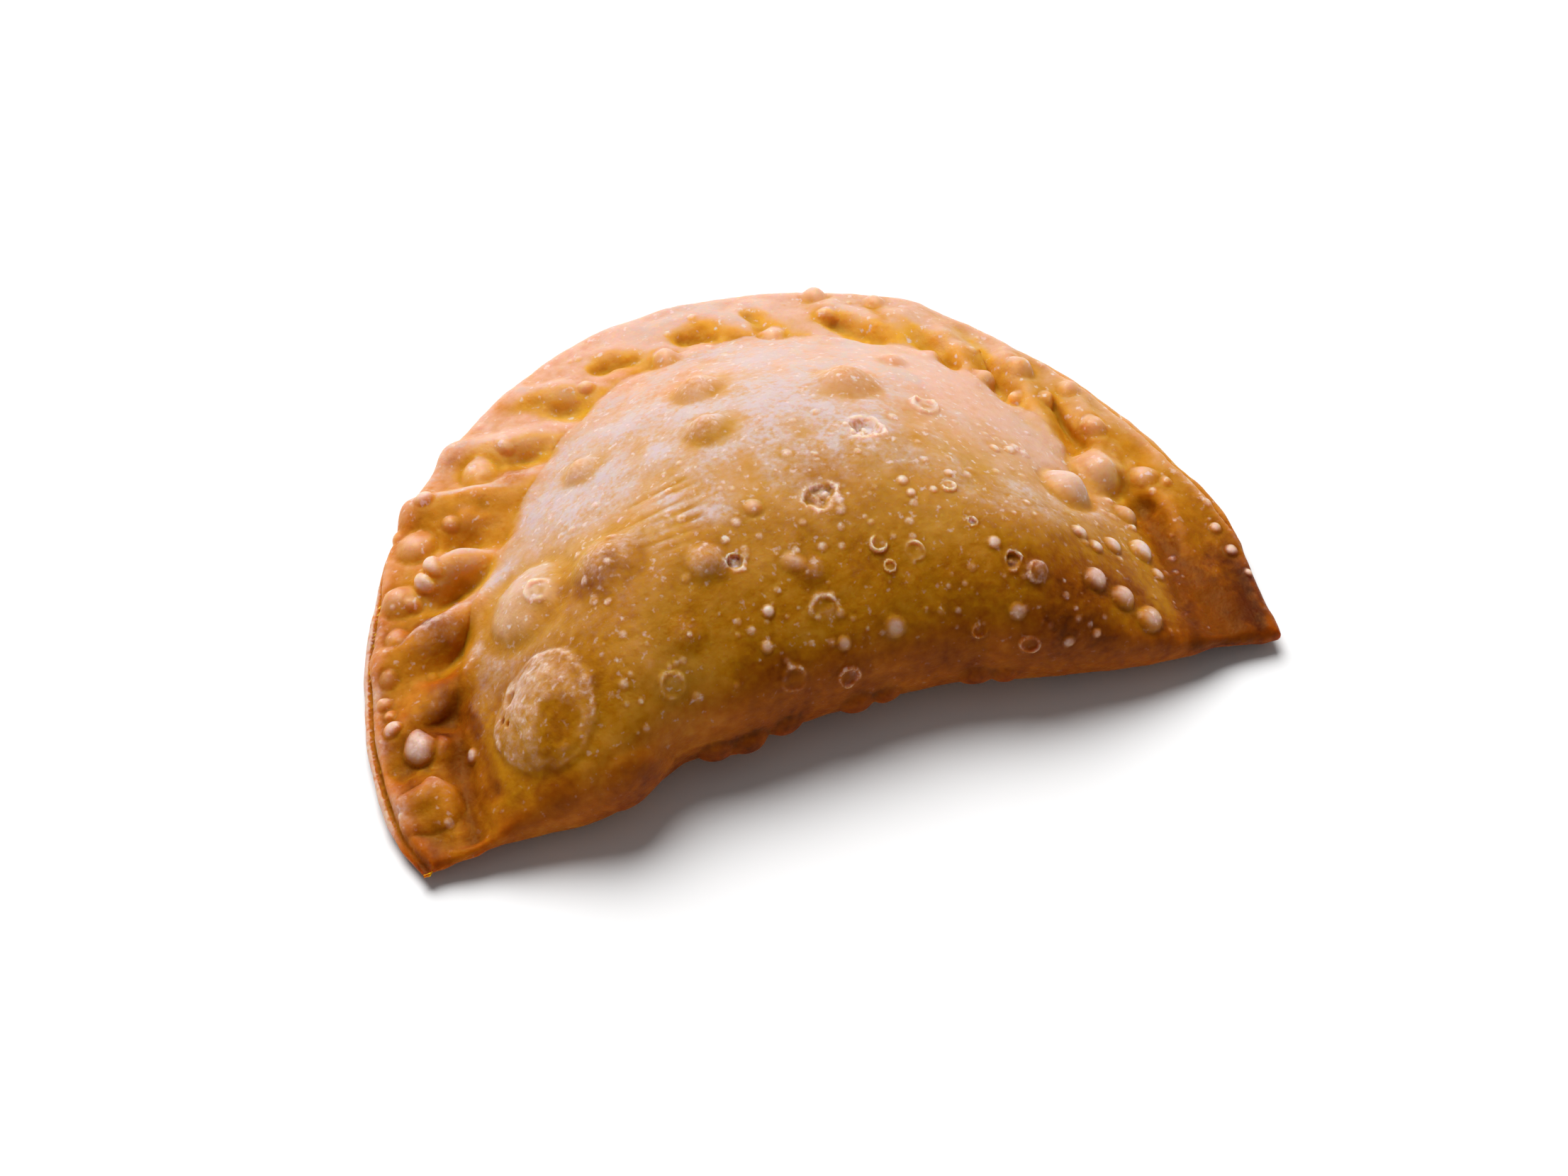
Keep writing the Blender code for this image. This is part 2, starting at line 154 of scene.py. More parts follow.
# Domes are smooth and round, with a clear foot.
DOMES = (
    (-41.2, 21, 7.6, 2.5), (-6.5, 16.8, 1.6, 0.8), (-3.5, 6.5, 2, 0.6), (44.6, 16.8, 4.4, 2.7),
    (52.3, 22.7, 4.8, 2.8), (53.8, 13.2, 2.4, 1.2), (22.5, 73, 2.2, 1.5), (31, 68, 1.9, 0.9),
    (12.5, 65, 2.2, 1.2), (22.3, 66.5, 1.9, 1), (-5.5, 64.5, 2.4, 1.4), (-19, 64, 1.4, 0.9),
    (41.8, 45.5, 2.2, 1.3), (45.2, 40.5, 1.4, 1), (48.5, 46, 2.2, 1.2), (50, 39, 1.6, 0.9),
    (54.5, 40.5, 1.9, 1), (55.3, 31.5, 2, 1.2), (59.5, 20.5, 2.2, 1.1), (62.5, 18.5, 1.1, 0.6),
    (-40, 53.5, 3, 1.7), (-34.5, 57, 1.5, 0.8), (-53, 43.5, 3.2, 1.8), (-55.3, 48, 1.3, 0.6),
    (-58, 34, 3, 1.6), (-56.3, 32.3, 1.3, 0.5), (-60.3, 27.3, 2, 1), (-63.5, 20.5, 1.5, 0.7),
    (-65.3, 16.8, 1.3, 0.8), (-65, 14.2, 1.1, 0.7), (-47, 45, 1.4, 0.8),
)
DOME_POWER = 1.15
DOME_LEVELLED = 0.6
DOME_DRYNESS = 0.19
DOME_DRY_TO = (0.1, 0.9)
# Pearls are small, tight and pale.
PEARLS = (
    (41, -3.7, 2, 1.1), (44.5, -6.3, 2.1, 1.2), (48, -9.6, 2.2, 1.1), (52.4, 4.8, 2.1, 1.2),
    (42, 5.2, 1.5, 0.7), (43.7, 2.7, 1.3, 0.6), (47.2, 4.1, 1.6, 0.8), (53.6, 0.2, 1.2, 0.5),
    (-62.4, 6.6, 2.5, 1.2), (-55.8, 2.5, 1.3, 0.5), (-65.3, 11.3, 1.4, 0.9), (-51.7, 37, 1.4, 1.1),
    (-54, 35, 1.4, 1.1), (-49, 51, 1.5, 0.9), (66.6, 8, 1.1, 0.7), (67.3, 3.3, 1.1, 0.7),
    (68.4, -1.3, 0.8, 0.5), (27, -7, 1.4, 0.4), (34, -11, 1, 0.5), (38.5, -11, 0.8, 0.5),
    (-9.5, 0.8, 1, 0.5), (-11, -3.3, 1.1, 0.5), (0.5, -4.8, 1.2, 0.5), (8.5, -4.7, 1.9, 0.5),
    (35, 23.5, 0.9, 0.4), (37.5, 23.8, 0.9, 0.4), (16.5, 15, 1, 0.4), (17, 12.6, 0.8, 0.4),
    (20.5, 12.4, 0.7, 0.3), (24.1, 15.3, 0.8, 0.4), (26.4, 2.2, 1, 0.5),
)
PEARL_POWER = 0.6
PEARL_DRYNESS = 0.5
PEARL_DRY_TO = (0.35, 1)
PEARL_OIL = 0.3
PEARL_OIL_AT = (1.1, 0.2)
# Round the foot of domes and pearls, in shares of the radius: where the dough sinks, how widely and by
# how much of the height, and where the blistered skin ends
FOOT_AT = 1.15
FOOT_SPREAD = 0.16
FOOT_DIP = 0.1
SKIN_ENDS = (0.8, 1.1)
# Rings are blisters that have sunk in the middle.
RINGS = (
    (-38.4, 19.6, 2.3, 0.6), (-1.2, -0.8, 2.6, 0.25), (9.6, 6.1, 1.6, 0.5), (14.5, 3.8, 1.7, 0.5),
    (10.2, 2.6, 1.1, 0.4), (21, -7.5, 1.3, 0.4), (-26, -4.5, 2.3, 0.5), (23, 12.6, 1.3, 0.4),
    (28, -10, 1.8, 0.4), (26.8, 33.2, 2.4, 0.6), (31.5, -2.8, 2, 0.4), (-8.2, -6.8, 2.4, 0.4),
    (0.5, -7.2, 2, 0.4),
)
RING_EDGE_AT = (0.82, 0.15)
RING_PALE_AT = (0.84, 0.12)
RING_INSIDE = (0.6, 1.05)
# Bursts have torn open: X, Y, radius, depth, how dry and pale they are inside.
BURSTS = (
    (15, 27.2, 2.8, 1.2, 0.7), (3.6, 15.8, 2.9, 0.7, 0.25), (-12, 8.9, 1.3, 0.7, 0.3),
    (28.2, -0.9, 1.5, 0.5, 0.1), (24.3, 6, 0.9, 0.3, 0.3),
)
BURST_LIP = 0.3
BURST_CRUMBS = 0.35
BURST_LIP_AT = (0.9, 0.11)
BURST_PALE_AT = (0.88, 0.1)
BURST_PALENESS = 0.55
BURST_HOLE = (0.5, 0.8)
# The biggest blister is rough and wrinkled all over: X, Y, radius, height.
ROUGH_BLISTER = (-44.7, 0, 9.9, 2.6)
ROUGH_POWER = 1.15
ROUGH_CRUMBS = 0.16
ROUGH_EDGE = 0.2
ROUGH_EDGE_AT = (0.9, 0.04)
ROUGH_DRY_WAY = (-0.9, 0.3)
# Its wrinkles are lumps of this size, drawn out across X and Y
ROUGH_STREAK_SIZE = 1.4
ROUGH_STREAKS = ((0.8, 0.3, 0), (0.6, -0.4, 0), (0, 0, 1))
# The sunk places in it: X, Y, radius, depth
ROUGH_HOLLOWS = (
    (-42.6, -3.4, 3.8, 0.55), (-47.7, 4.8, 1.5, 0.6), (-49.6, 2.4, 0.7, 0.5), (-48.9, 0.8, 0.6, 0.5),
)
# Blisters under the fold: X, how far the sheet goes round from the fold, radius, height
FOLD_BLISTERS = (
    (-34, 1, 6.5, 1.2), (-20.5, -3, 3, 1.3), (-15.5, -3.5, 3.2, 1.6), (-9.5, -3, 2.6, 1.2),
    (2, -3, 2.8, 1.3), (6.5, -3, 2.4, 1.1), (20.5, -2, 2.6, 1.2), (24.5, -2, 2.2, 0.9),
)
FOLD_BLISTER_POWER = 0.8

# Folds of dough, steep behind: the two ends in X, Y from left to right, then height
RIDGES = (
    (-42, 60.5, -27, 54.8, 1.3), (-51, 51.5, -34, 47.2, 1.7), (-52, 35.8, -43, 37.8, 1.4),
    (-62.5, 24.6, -46.5, 27.4, 1.7), (-64, 11.4, -53.5, 14.4, 1.4), (-62.5, 3.5, -56.5, 7, 0.7),
    (-29, 68, -18.5, 62.4, 1), (-9, 68.5, -2, 66, 0.5), (5, 73, 13, 65, 0.6), (24, 68, 31, 59.5, 0.7),
    (33, 62.5, 40, 53, 0.8), (43.5, 52, 49, 43, 1), (51.5, 37.5, 54, 29.5, 0.8),
)
RIDGE_BACK_WIDTH = 1.9
RIDGE_FRONT_WIDTH = 3.4
# How much height a fold has lost by its right end, and the breadth of its crest and valley
RIDGE_TAPER = 0.8
RIDGE_CREST = 0.4
# A painted highlight along each fold's crest, and darker browning in the valley on its front side, partly
# painted shade
RIDGE_PAINTED_HIGHLIGHT = 0.4
VALLEY_SHADE_BROWNING = 0.13
VALLEY_OIL = 0.25
# Creases in the dough: the two ends in X, Y, then half width and depth
CREASES = (
    (-56.5, 10, -59, -11, 2, 1.4), (57.5, 15, 59, -11, 2.4, 0.6), (-54.2, 8, -54, -6, 1.2, 0.35),
    (50.8, 38.5, 52.3, 29.5, 1, 0.9), (55.5, 20.5, 57.5, 15, 1.3, 0.9), (34, 57, 38.3, 49, 1, 0.4),
    (22, 66, 28.6, 58.5, 1.2, 0.3), (-17, 67.6, -10, 67, 1, 0.5), (-1.5, 69.2, 3.5, 67.2, 1, 0.5),
    (10.3, 71, 11.6, 66.3, 1.3, 0.5), (30.3, 67, 30.6, 62.5, 1.2, 0.4), (50.5, 60, 54, 52, 1.2, 0.2),
)
# The creases are oiled and browned darker, the browning partly painted shade
CREASE_OIL = 0.4
CREASE_SHADE_BROWNING = 0.15
# The puffed pillow of dough by the left tip: middle X, Y, half width, half length, height
PILLOW = (-63.6, -3.6, 5, 4, 1.4)
PILLOW_SQUARENESS = 3

# Fine wrinkles on the belly: the two ends in X, Y
WRINKLES = (
    (-25, 27.3, -12, 26.8), (-20, 25.4, -12.5, 25.2), (-26, 22.8, -13, 22.8), (-21, 20.8, -12, 20.6),
    (-19, 18.6, -13.5, 18.4), (-25, 16.4, -14, 16.2), (-22, 14.2, -16, 14.4),
)
WRINKLE_HALF_WIDTH = 0.45
WRINKLE_DEPTH = 0.28
WRINKLE_OIL = 0.2

# Tiny blisters, scattered most thickly low on the front
TINY_COUNT = 260
TINY_RIM_COUNT = 50
TINY_SEED = 21
TINY_RADIUS = (0.28, 1)
TINY_ACROSS = (-34, 58)
TINY_UP_THE_FRONT = (2, 44)
TINY_LOWNESS = 1.7
TINY_RIM_END = 190
TINY_RIM_INSET = (1.5, 13)
TINY_HEIGHT_SHARE = 0.3
TINY_DRYNESS = 0.5

# Uneven dough: lump size and height, from broad to fine
UNEVENNESS = ((14, 0.35), (6, 0.2), (2.6, 0.1), (1.2, 0.045))
RIM_UNEVENNESS = ((4.5, 0.4), (2.2, 0.16))

# Mesh spacing over the sheet of dough, finest first
SPACINGS = (0.27, 0.38, 0.54, 0.76, 1.08)
BELLY_SPACING = 0.54
RIM_SPACING = 0.38
UNDERSIDE_SPACING = 1.08
FRONT_UNDERSIDE_SPACING = 0.54
FRONT_UNDERSIDE_REACH = 6
BLISTER_SHARE = 0.2
OUTLINE_STEP = 0.6
EDGE_ROWS = (0.3, 0.6, 0.9, 1.2, 1.5, 1.75, 2, 2.25, 2.5, 2.8, 3.1)
ROW_CLEARANCE = 0.4
CLEAR_SHARE = 0.62
SHEET_HALF_LENGTH = 76
SHEET_FRONT = -22
SHEET_BACK = 84
SCATTER_SEED = 7
SCATTER_SHIFT = 0.12
OFF_THE_TOP = 99
LEAST_WAY = 0.01
LATTICE = 24
LATTICE_SEED = 5

# Where the looks of rim and belly mix, from outside the crease to inside it
RIM_MIX = (-1, 4)
# Browning, from 0 for pale to 1 for dark brown. Round the rim: degrees, browning.
RIM_BROWNING = (
    (-8, 0.98), (-2, 0.96), (3, 0.85), (10, 0.72), (18, 0.55), (30, 0.46), (50, 0.38), (75, 0.24),
    (100, 0.24), (120, 0.34), (140, 0.48), (160, 0.6), (180, 0.7), (200, 0.82),
)
# How ruddy rather than golden the rim is: degrees, ruddiness
RIM_RUDDINESS = ((0, 0.3), (30, 0.1), (55, 0.2), (80, 0.9), (120, 1), (200, 1))
# From the fold back over the belly: distance behind the fold, browning
BELLY_BROWNING = (
    (0, 0.84), (5, 0.75), (11, 0.68), (20, 0.61), (28, 0.54), (36, 0.46), (45, 0.36), (60, 0.28),
)
BELLY_DRYNESS = 0.13
BELLY_DRY_FROM = (6, 22)
UNEVEN_BROWNING = 0.04
FOLD_RUDDY_REACH = 2.5
UNDERSIDE_BROWNING = 0.84
FOLD_BLISTER_BROWNING = 0.15
# Places that have browned more or less, and a few of painted light: X, Y, reach, change
# The painted light lifts the shade under a dome and in deep crimp marks with less browning
BROWNING_AND_LIGHT_PATCHES = (
    (-29, 14, 6, 0.14), (-42, 8, 8, 0.1), (-50, 16, 5, 0.1), (-13.5, 13, 4, 0.08), (-6.5, 35, 4.5, 0.14),
    (16.5, 38, 5.5, 0.12), (-5, 48, 5, 0.12), (-25, 41, 4, 0.08), (27, 48, 3, 0.12), (38, 33, 14, -0.16),
    (32, 52, 10, -0.12), (44, 17, 8, -0.12), (41, -4, 10, 0.12), (35, -4, 9, 0.07), (-56, 11, 5, 0.28),
    (-65, 3, 3.5, 0.15), (-66, 31, 5, 0.28), (-56, 0, 6, 0.06), (-65, -10, 4, 0.1), (-40, -9, 6, -0.05),
    (5, 19, 4.5, 0.14), (46, -3, 4.5, 0.06), (-54, 27, 3, 0.12), (-45, 34, 4, -0.25), (-35, 57, 5, -0.2),
    (-25, 62, 4, -0.15), (25, 62, 5, -0.2), (35, 57, 4, -0.15), (-54, 33, 3, -0.25), (-35, 51, 2.5, 0.35),
    (-55, 27, 2.5, 0.32), (-56, 16, 2.5, 0.15), (-24, -6, 7, -0.16), (-9, 57, 8, 0.08),
    (-70.3, -13.5, 3, 0.25), (55, 20, 4, -0.28), (25, -3, 4, 0.07), (45, -9, 4, -0.16), (25, -9, 4, -0.1),
    (-55, 3, 2.5, -0.1), (10, 21, 6, 0.07), (40, 9, 7, 0.06), (-5, 10, 4, 0.05), (-35, 15, 6, 0.06),
    (-34, -10, 8, -0.06),
)
# Places where the haze, both the fat of the filling showing through and painted sheen, is stronger or
# weaker: X, Y, reach, amount
MILK_AND_SHEEN_PATCHES = (
    (-48, 27, 6, 0.4), (-50, 14, 4, 0.3), (-47, 7, 5, 0.4), (-47, 39, 4, 0.35), (0, 73, 14, 0.45),
    (-30, 42, 11, 0.4), (-66, 32, 6, 0.25), (-66.5, 9, 3.5, 0.45), (-68, -2, 3.5, 0.45),
    (-67, 18, 4, 0.45), (-29.5, 18, 7, -0.35), (-14, 12, 4, -0.2), (-6, 31, 5, -0.3), (6.5, 38, 6, 0.3),
    (12.5, 28, 3.5, 0.4), (36, 34, 9, -0.3), (25, 22, 7, -0.25), (44, 12, 6, 0.1), (-4, 58, 10, -0.45),
    (-63, -9, 2.5, 0.5), (-64, 3, 3, -0.6), (-57, 9, 5, -0.9), (-56, 17, 4, -0.6), (-50, 31, 3, -0.2),
    (33, 52, 10, -0.35), (48, 35, 9, -0.5), (-35, 45, 3, 0.3), (-45, 57, 5, 0.3), (55, 20, 4, 0.3),
)
# Places that are peach rather than golden: X, Y, reach, amount
PEACH_PATCHES = ((33, 42, 14, 1), (48, 20, 9, 0.6), (15, 55, 12, 0.7), (-9, 57, 10, 1))

# Oil in the hollows, with painted shade and highlight: how deep a hollow holds its fill, and what it does to
# the looks
SMOOTHINGS = 14
HOLLOW_DEPTH = 0.36
OIL_IN_HOLLOWS = 0.6
LEAST_HOLLOW = -0.4
# Hollows are browned darker, partly painted shade; proud crests dry pale, partly a painted highlight
HOLLOW_SHADE_BROWNING = 0.07
CREST_HIGHLIGHT_DRYNESS = 0.22

# Painted sheen: slopes that face up and back, toward the light, are painted pale as if they reflected it
# The painted sheen's way: X, Y, Z, then how squarely a slope must face it, and how pale it gets
PAINTED_LIGHT_WAY = (0.08, 0.75, 0.65)
PAINTED_SHEEN_FACING = (0.46, 1.1)
PAINTED_SHEEN = 0.95
DETAIL_SHARE = 0.35
RIM_PAINTED_SHEEN = 0.35
# The painted sheen and the dry crests, which are partly a painted highlight, start behind the fold, between
# these distances
PAINTED_SHEEN_STARTS = (3, 12)
CRESTS_START = (2, 12)
# The painted sheen lies in streaks up the slope: how far their X, Y and Z are squeezed, and their size
STREAK_SQUEEZE = (1, 0.35, 0.6)
STREAK_SIZE = 2.2
# How squarely the rim must face that way, toward the light, to stay ruddy like a lit face; the rest is
# painted golden with oil
LIT_FACING = (0.55, 0.9)
# Painted glow in the shade: rim slopes and blister skin facing away from the light are painted golden with
# oil and lose ruddiness
SHADED_GLOW_FROM_EDGE = (2, 6)
SHADED_GLOW_ON_BLISTERS = 0.6
SHADED_GLOW_OIL = 0.75
SHADED_GLOW_RUDDINESS_LOST = 0.85
# A crimp mark this deep is full of oil, and has lost its haze and painted sheen and these shares of its
# other looks
CRIMP_CLEAR_DEPTH = 0.7
# The oil makes the crimp marks golden, partly as a painted glow in their shade
CRIMP_OIL_AND_GLOW = 0.45
CRIMP_DRYNESS_LOST = 0.6
CRIMP_RUDDINESS_LOST = 0.8

# The crust's colours where it is golden and where it is ruddy, from pale to dark
GOLDEN_TONES = (
    (0, (0.64, 0.43, 0.33)), (0.2, (0.61, 0.37, 0.25)), (0.4, (0.57, 0.29, 0.1)),
    (0.55, (0.51, 0.235, 0.022)), (0.7, (0.41, 0.158, 0.002)), (0.85, (0.26, 0.066, 0.001)),
    (1, (0.09, 0.01, 0.001)),
)
RUDDY_TONES = (
    (0, (0.74, 0.47, 0.38)), (0.25, (0.7, 0.38, 0.26)), (0.45, (0.62, 0.25, 0.08)),
    (0.6, (0.52, 0.16, 0.012)), (0.75, (0.38, 0.09, 0.002)), (0.9, (0.22, 0.04, 0.001)),
    (1, (0.09, 0.012, 0.002)),
)
OIL_TONES = (
    (0.25, (0.76, 0.37, 0.018)), (0.55, (0.56, 0.2, 0.005)), (0.75, (0.4, 0.128, 0.003)),
    (0.95, (0.24, 0.055, 0.001)),
)
# The haze's colours, both the fat showing through and painted sheen: peach where ruddy, lilac where not
MILK_SHEEN_COLOUR = (0.58, 0.40, 0.33)
LILAC_MILK_SHEEN_COLOUR = (0.56, 0.45, 0.45)
SKIN_COLOUR = (0.70, 0.54, 0.49)
CHAR_COLOUR = (0.10, 0.05, 0.03)
MOST_MILK_SHEEN = 0.95
BROWN_MOTTLE = 0.28
BUMP = {"Strength": 0.55, "Distance": 0.0004}
CRUST_ROUGHNESS = 0.52
SHEEN = 0.3
EVEN_LOOKS = {
    "Coat Roughness": 0.34,
    "Specular IOR Level": 0.14,
    "Specular Tint": (1, 0.75, 0.25),
    "Subsurface Weight": 1,
    "Subsurface Radius": (1, 0.4, 0.08),
    "Subsurface Scale": 0.004,
}
PAINTED = ("browning", "ruddiness", "dryness", "oiliness", "milkiness", "char", "blistered")

# The floor, the light and the camera, in metres and degrees
BODY = "root"
FLOOR_COLOUR = (0.9, 0.9, 0.9)
FLOOR_HALF_SIZE = 4
LAMP_STRENGTH = 3.75
LAMP_SPREAD = 42
LAMP_AZIMUTH = 176
LAMP_ELEVATION = 58
ROOM_STRENGTH = 0.18
CAMERA_LENS = 85
CAMERA_AZIMUTH = 18.6
CAMERA_ELEVATION = 53.54
CAMERA_DISTANCE = 0.5656
# The point looked at, from the middle of the pasty's foot
CAMERA_TARGET = (-0.0022, -0.0177, 0.0100)


def hill(value, centre, spread):
    """A rounded hill of height 1 at its centre."""
    return np.exp(-(((value - centre) / spread) ** 2))


def held(value):
    """The value, kept between 0 and 1."""
    return np.clip(value, 0, 1)


def mixed(start, end, share):
    """This share of the way from the start to the end."""
    return start + (end - start) * share


def ease(share):
    """Goes from 0 to 1 with a level start and end."""
    share = held(share)
    return share * share * (3 - 2 * share)


def between(value, start, end):
    """Eases from 0 at the start to 1 at the end."""
    return ease((value - start) / (end - start))


def domed(share):
    """1 in the middle of a blister, falling to 0 at its foot."""
    return held(1 - share * share)


def arch(share):
    """Rises from 0 and levels out at 1."""
    return np.sin(held(share) * math.pi / 2)


def round_over(inset, radius):
    """The height share of a rounded edge: 0 at the edge, 1 from one radius in."""
    short = 1 - held(inset / radius)
    return np.sqrt(np.maximum(1 - short * short, 0))


def rolled(along, radius):
    """How far in a point lies in plan once the sheet has turned round an edge."""
    turn = np.clip(along / radius, 0, math.pi / 2)
    past = np.maximum(along - radius * math.pi / 2, 0)
    return radius * (1 - np.cos(turn)) + past


def roll_allowance(radius):
    """The extra sheet that a rounded edge takes up."""
    return radius * (math.pi / 2 - 1)


def rim_angle(x, y):
    """Degrees round the dough disc from its right end."""
    angle = np.degrees(np.arctan2(y / RIM_DEPTH, x / RIM_HALF_LENGTH))
    return np.where(angle < -90, angle + 360, angle)


def even_edge(angle):
    """X and Y of the disc's edge before it wanders."""
    turn = np.radians(angle)
    return RIM_HALF_LENGTH * np.cos(turn), RIM_DEPTH * np.sin(turn)


def rim_reach(angle):
    """From the middle of the disc out to the edge of the rim."""
    reach = np.hypot(*even_edge(angle))
    for centre, outward, spread in RIM_WANDER:
        reach = reach + outward * hill(angle, centre, spread)
    return reach


def rim_width(angle):
    """From the edge in to the crease where the belly starts to rise."""
    return RIM_WIDTH + sum(wider * hill(angle, centre, spread) for centre, wider, spread in RIM_WIDTH_WANDER)


def from_tips(x, power, at_tips, at_middle):
    """A length that changes from the tips to the middle."""
    toward_tips = held(np.abs(x) / HALF_LENGTH) ** power
    return mixed(at_tips, at_middle, 1 - toward_tips)


def fold_line(x):
    """Where the front of the fold lies in plan."""
    line = mixed(FOLD_AT_MIDDLE, FOLD_AT_TIPS, ease(np.abs(x) / FOLD_STRAIGHT_FROM))
    for centre, outward, spread in FOLD_WANDER:
        line = line - outward * hill(x, centre, spread)
    return line


def fold_height(x):
    """How high the foremost line of the fold runs."""
    return from_tips(x, *FOLD_HEIGHT)


def fold_round(x):
    """The radius that the dough turns round at the fold."""
    return from_tips(x, *FOLD_ROUND)


def ledge(angle):
    """How far the lower layer stands out past the upper one."""
    right = between(angle, *LEDGE_RIGHT_STARTS) * between(angle, *LEDGE_RIGHT_ENDS)
    return LEDGE_LEFT * between(angle, *LEDGE_LEFT_STARTS) + LEDGE_RIGHT * right


def parting(x, y, inset, behind):
    """Height of the surface where the two layers meet."""
    angle = rim_angle(x, y)
    at_tips = hill(angle, 0, CREASE_TIP_SPREAD) + hill(angle, 180, CREASE_TIP_SPREAD)
    crease = CREASE_HEIGHT - CREASE_DROP_AT_TIPS * at_tips
    inner = mixed(crease, fold_height(x), hill(behind, 0, FOLD_INFLUENCE))
    return mixed(EDGE_HEIGHT, inner, arch(inset / rim_width(angle)))


def edge_faces(angle, inset, behind):
    """Heights of the upper and lower faces above the parting, stepped at the edge."""
    stepped = ease(ledge(angle) / LEDGE_LEFT)
    front = round_over(behind, LAYER)
    plain = LAYER * np.minimum(round_over(inset, LAYER), front)
    lower = LAYER / 2 * np.minimum(round_over(inset, LAYER / 2), front)
    upper = LAYER * np.minimum(round_over(inset - ledge(angle), UPPER_EDGE_ROUND), front)
    drop = LAYER / 2 * front
    return mixed(plain, upper + lower - drop, stepped), mixed(-plain, -lower - drop, stepped)


def upper_face(x, y, inset, behind):
    """Height of the top of the dough before it is crimped."""
    angle = rim_angle(x, y)
    above, _ = edge_faces(angle, inset, behind)
    rim = parting(x, y, inset, behind) + above
    belly = from_tips(x - BELLY_PEAK, *BELLY_HEIGHT)
    round_back = held(np.sin(np.radians(angle))) ** 2
    rise = mixed(BELLY_RISE_AT_TIPS, BELLY_RISE_AT_BACK, round_back)
    from_rim = arch((inset - rim_width(angle)) / rise) ** BELLY_RISE_POWER
    from_fold = round_over(behind, from_tips(x, *BELLY_FRONT_REACH))
    return rim + np.maximum(belly - rim, 0) * from_rim * from_fold


def lower_face(x, y, inset, behind):
    """Height of the underside, level where the pasty rests."""
    angle = rim_angle(x, y)
    _, below = edge_faces(angle, inset, behind)
    rim = parting(x, y, inset, behind) + below
    from_rim = arch((inset - UNDERSIDE_FROM * rim_width(angle)) / UNDERSIDE_RISE) ** UNDERSIDE_RISE_POWER
    return rim * (1 - from_rim * round_over(behind, from_tips(x, *UNDERSIDE_REACH)))


def crimped(x, y, inset):
    """How far the crimp marks push the rim down, and squeeze it up between them."""
    angle = rim_angle(x, y)
    width = rim_width(angle)
    pushed = np.zeros(len(x))
    for centre, depth, length, slant, share in CRIMPS:
        round_rim = np.radians(angle - centre) * (rim_reach(angle) - inset)
        inward = inset - share * width
        lean, turn = np.cos(np.radians(slant)), np.sin(np.radians(slant))
        along = inward * lean - round_rim * turn
        across = inward * turn + round_rim * lean
        cut = depth * hill(across, 0, CRIMP_HALF_WIDTH) * hill(along, 0, length / 2)
        bank = hill(np.abs(across), 2 * CRIMP_HALF_WIDTH, CRIMP_HALF_WIDTH)
        pushed += CRIMP_BANK * depth * bank * hill(along, 0, CRIMP_BANK_LENGTH * length / 2) - cut
    return pushed * ease(inset / CRIMP_EDGE_FADE) * (1 - ease((inset - width) / CRIMP_CREASE_FADE))


def laid(x, y):
    """Where points of the flat sheet lie once its edges are rounded: X, Y, inset, way behind the fold."""
    turn = fold_round(x)
    along = np.maximum(y - fold_line(x) + roll_allowance(turn), 0)
    behind = rolled(along, turn)
    y = fold_line(x) + behind
    reach = rim_reach(rim_angle(x, y))
    out = np.maximum(np.hypot(x, y), 0.001)
    inset = rolled(np.maximum(reach + roll_allowance(LAYER) - out, 0), LAYER)
    scale = (reach - inset) / out
    return x * scale, y * scale, inset, behind


def sheet_front(x):
    """The line of the fold on the flat sheet."""
    return fold_line(x) - roll_allowance(fold_round(x))


def rim_row(along, angles):
    """A row of sheet points this far in from the edge of the rim."""
    ray = np.column_stack(even_edge(angles))
    ray /= np.linalg.norm(ray, axis=1)[:, None]
    row = ray * (rim_reach(angles) + roll_allowance(LAYER) - along)[:, None]
    return row[row[:, 1] > sheet_front(row[:, 0]) + ROW_CLEARANCE * along]


def rim_angles():
    """Even steps round the rim from the right tip to the left."""
    length = math.radians(RIM_LEFT_END - RIM_RIGHT_END) * RIM_HALF_LENGTH
    return np.linspace(RIM_RIGHT_END, RIM_LEFT_END, int(length / OUTLINE_STEP))


def sheet_outline():
    """The sheet's edge: round the rim from the right tip, then back along the fold."""
    rim = rim_row(0, rim_angles())
    left, right = rim[-1, 0], rim[0, 0]
    x = np.linspace(left, right, int((right - left) / OUTLINE_STEP) + 1)[1:-1]
    return np.vstack([rim, np.column_stack([x, sheet_front(x)])])


def edge_rows():
    """Rows of sheet points that carry the edge of the rim."""
    return np.vstack([rim_row(along, rim_angles()) for along in EDGE_ROWS])


def tiny_blisters():
    """X, Y, radius and height of each tiny blister: most low on the front, some round the rim."""
    chance = np.random.default_rng(TINY_SEED)
    x = chance.uniform(*TINY_ACROSS, TINY_COUNT)
    up = mixed(*TINY_UP_THE_FRONT, chance.uniform(0, 1, TINY_COUNT) ** TINY_LOWNESS)
    angle = chance.uniform(0, TINY_RIM_END, TINY_RIM_COUNT)
    out = rim_reach(angle) - chance.uniform(*TINY_RIM_INSET, TINY_RIM_COUNT)
    ray = np.column_stack(even_edge(angle))
    ray *= (out / np.linalg.norm(ray, axis=1))[:, None]
    places = np.vstack([np.column_stack([x, fold_line(x) + up]), ray])
    radius = mixed(*TINY_RADIUS, chance.uniform(0, 1, len(places)) ** 2)
    return np.column_stack([places, radius, TINY_HEIGHT_SHARE * radius])


def round_features():
    """Every round blister on the top: X, Y, radius, height."""
    bursts = tuple(burst[:4] for burst in BURSTS)
    named = SWELLINGS + DOMES + PEARLS + RINGS + bursts + (ROUGH_BLISTER,) + ROUGH_HOLLOWS
    return np.vstack([np.array(named), tiny_blisters()])


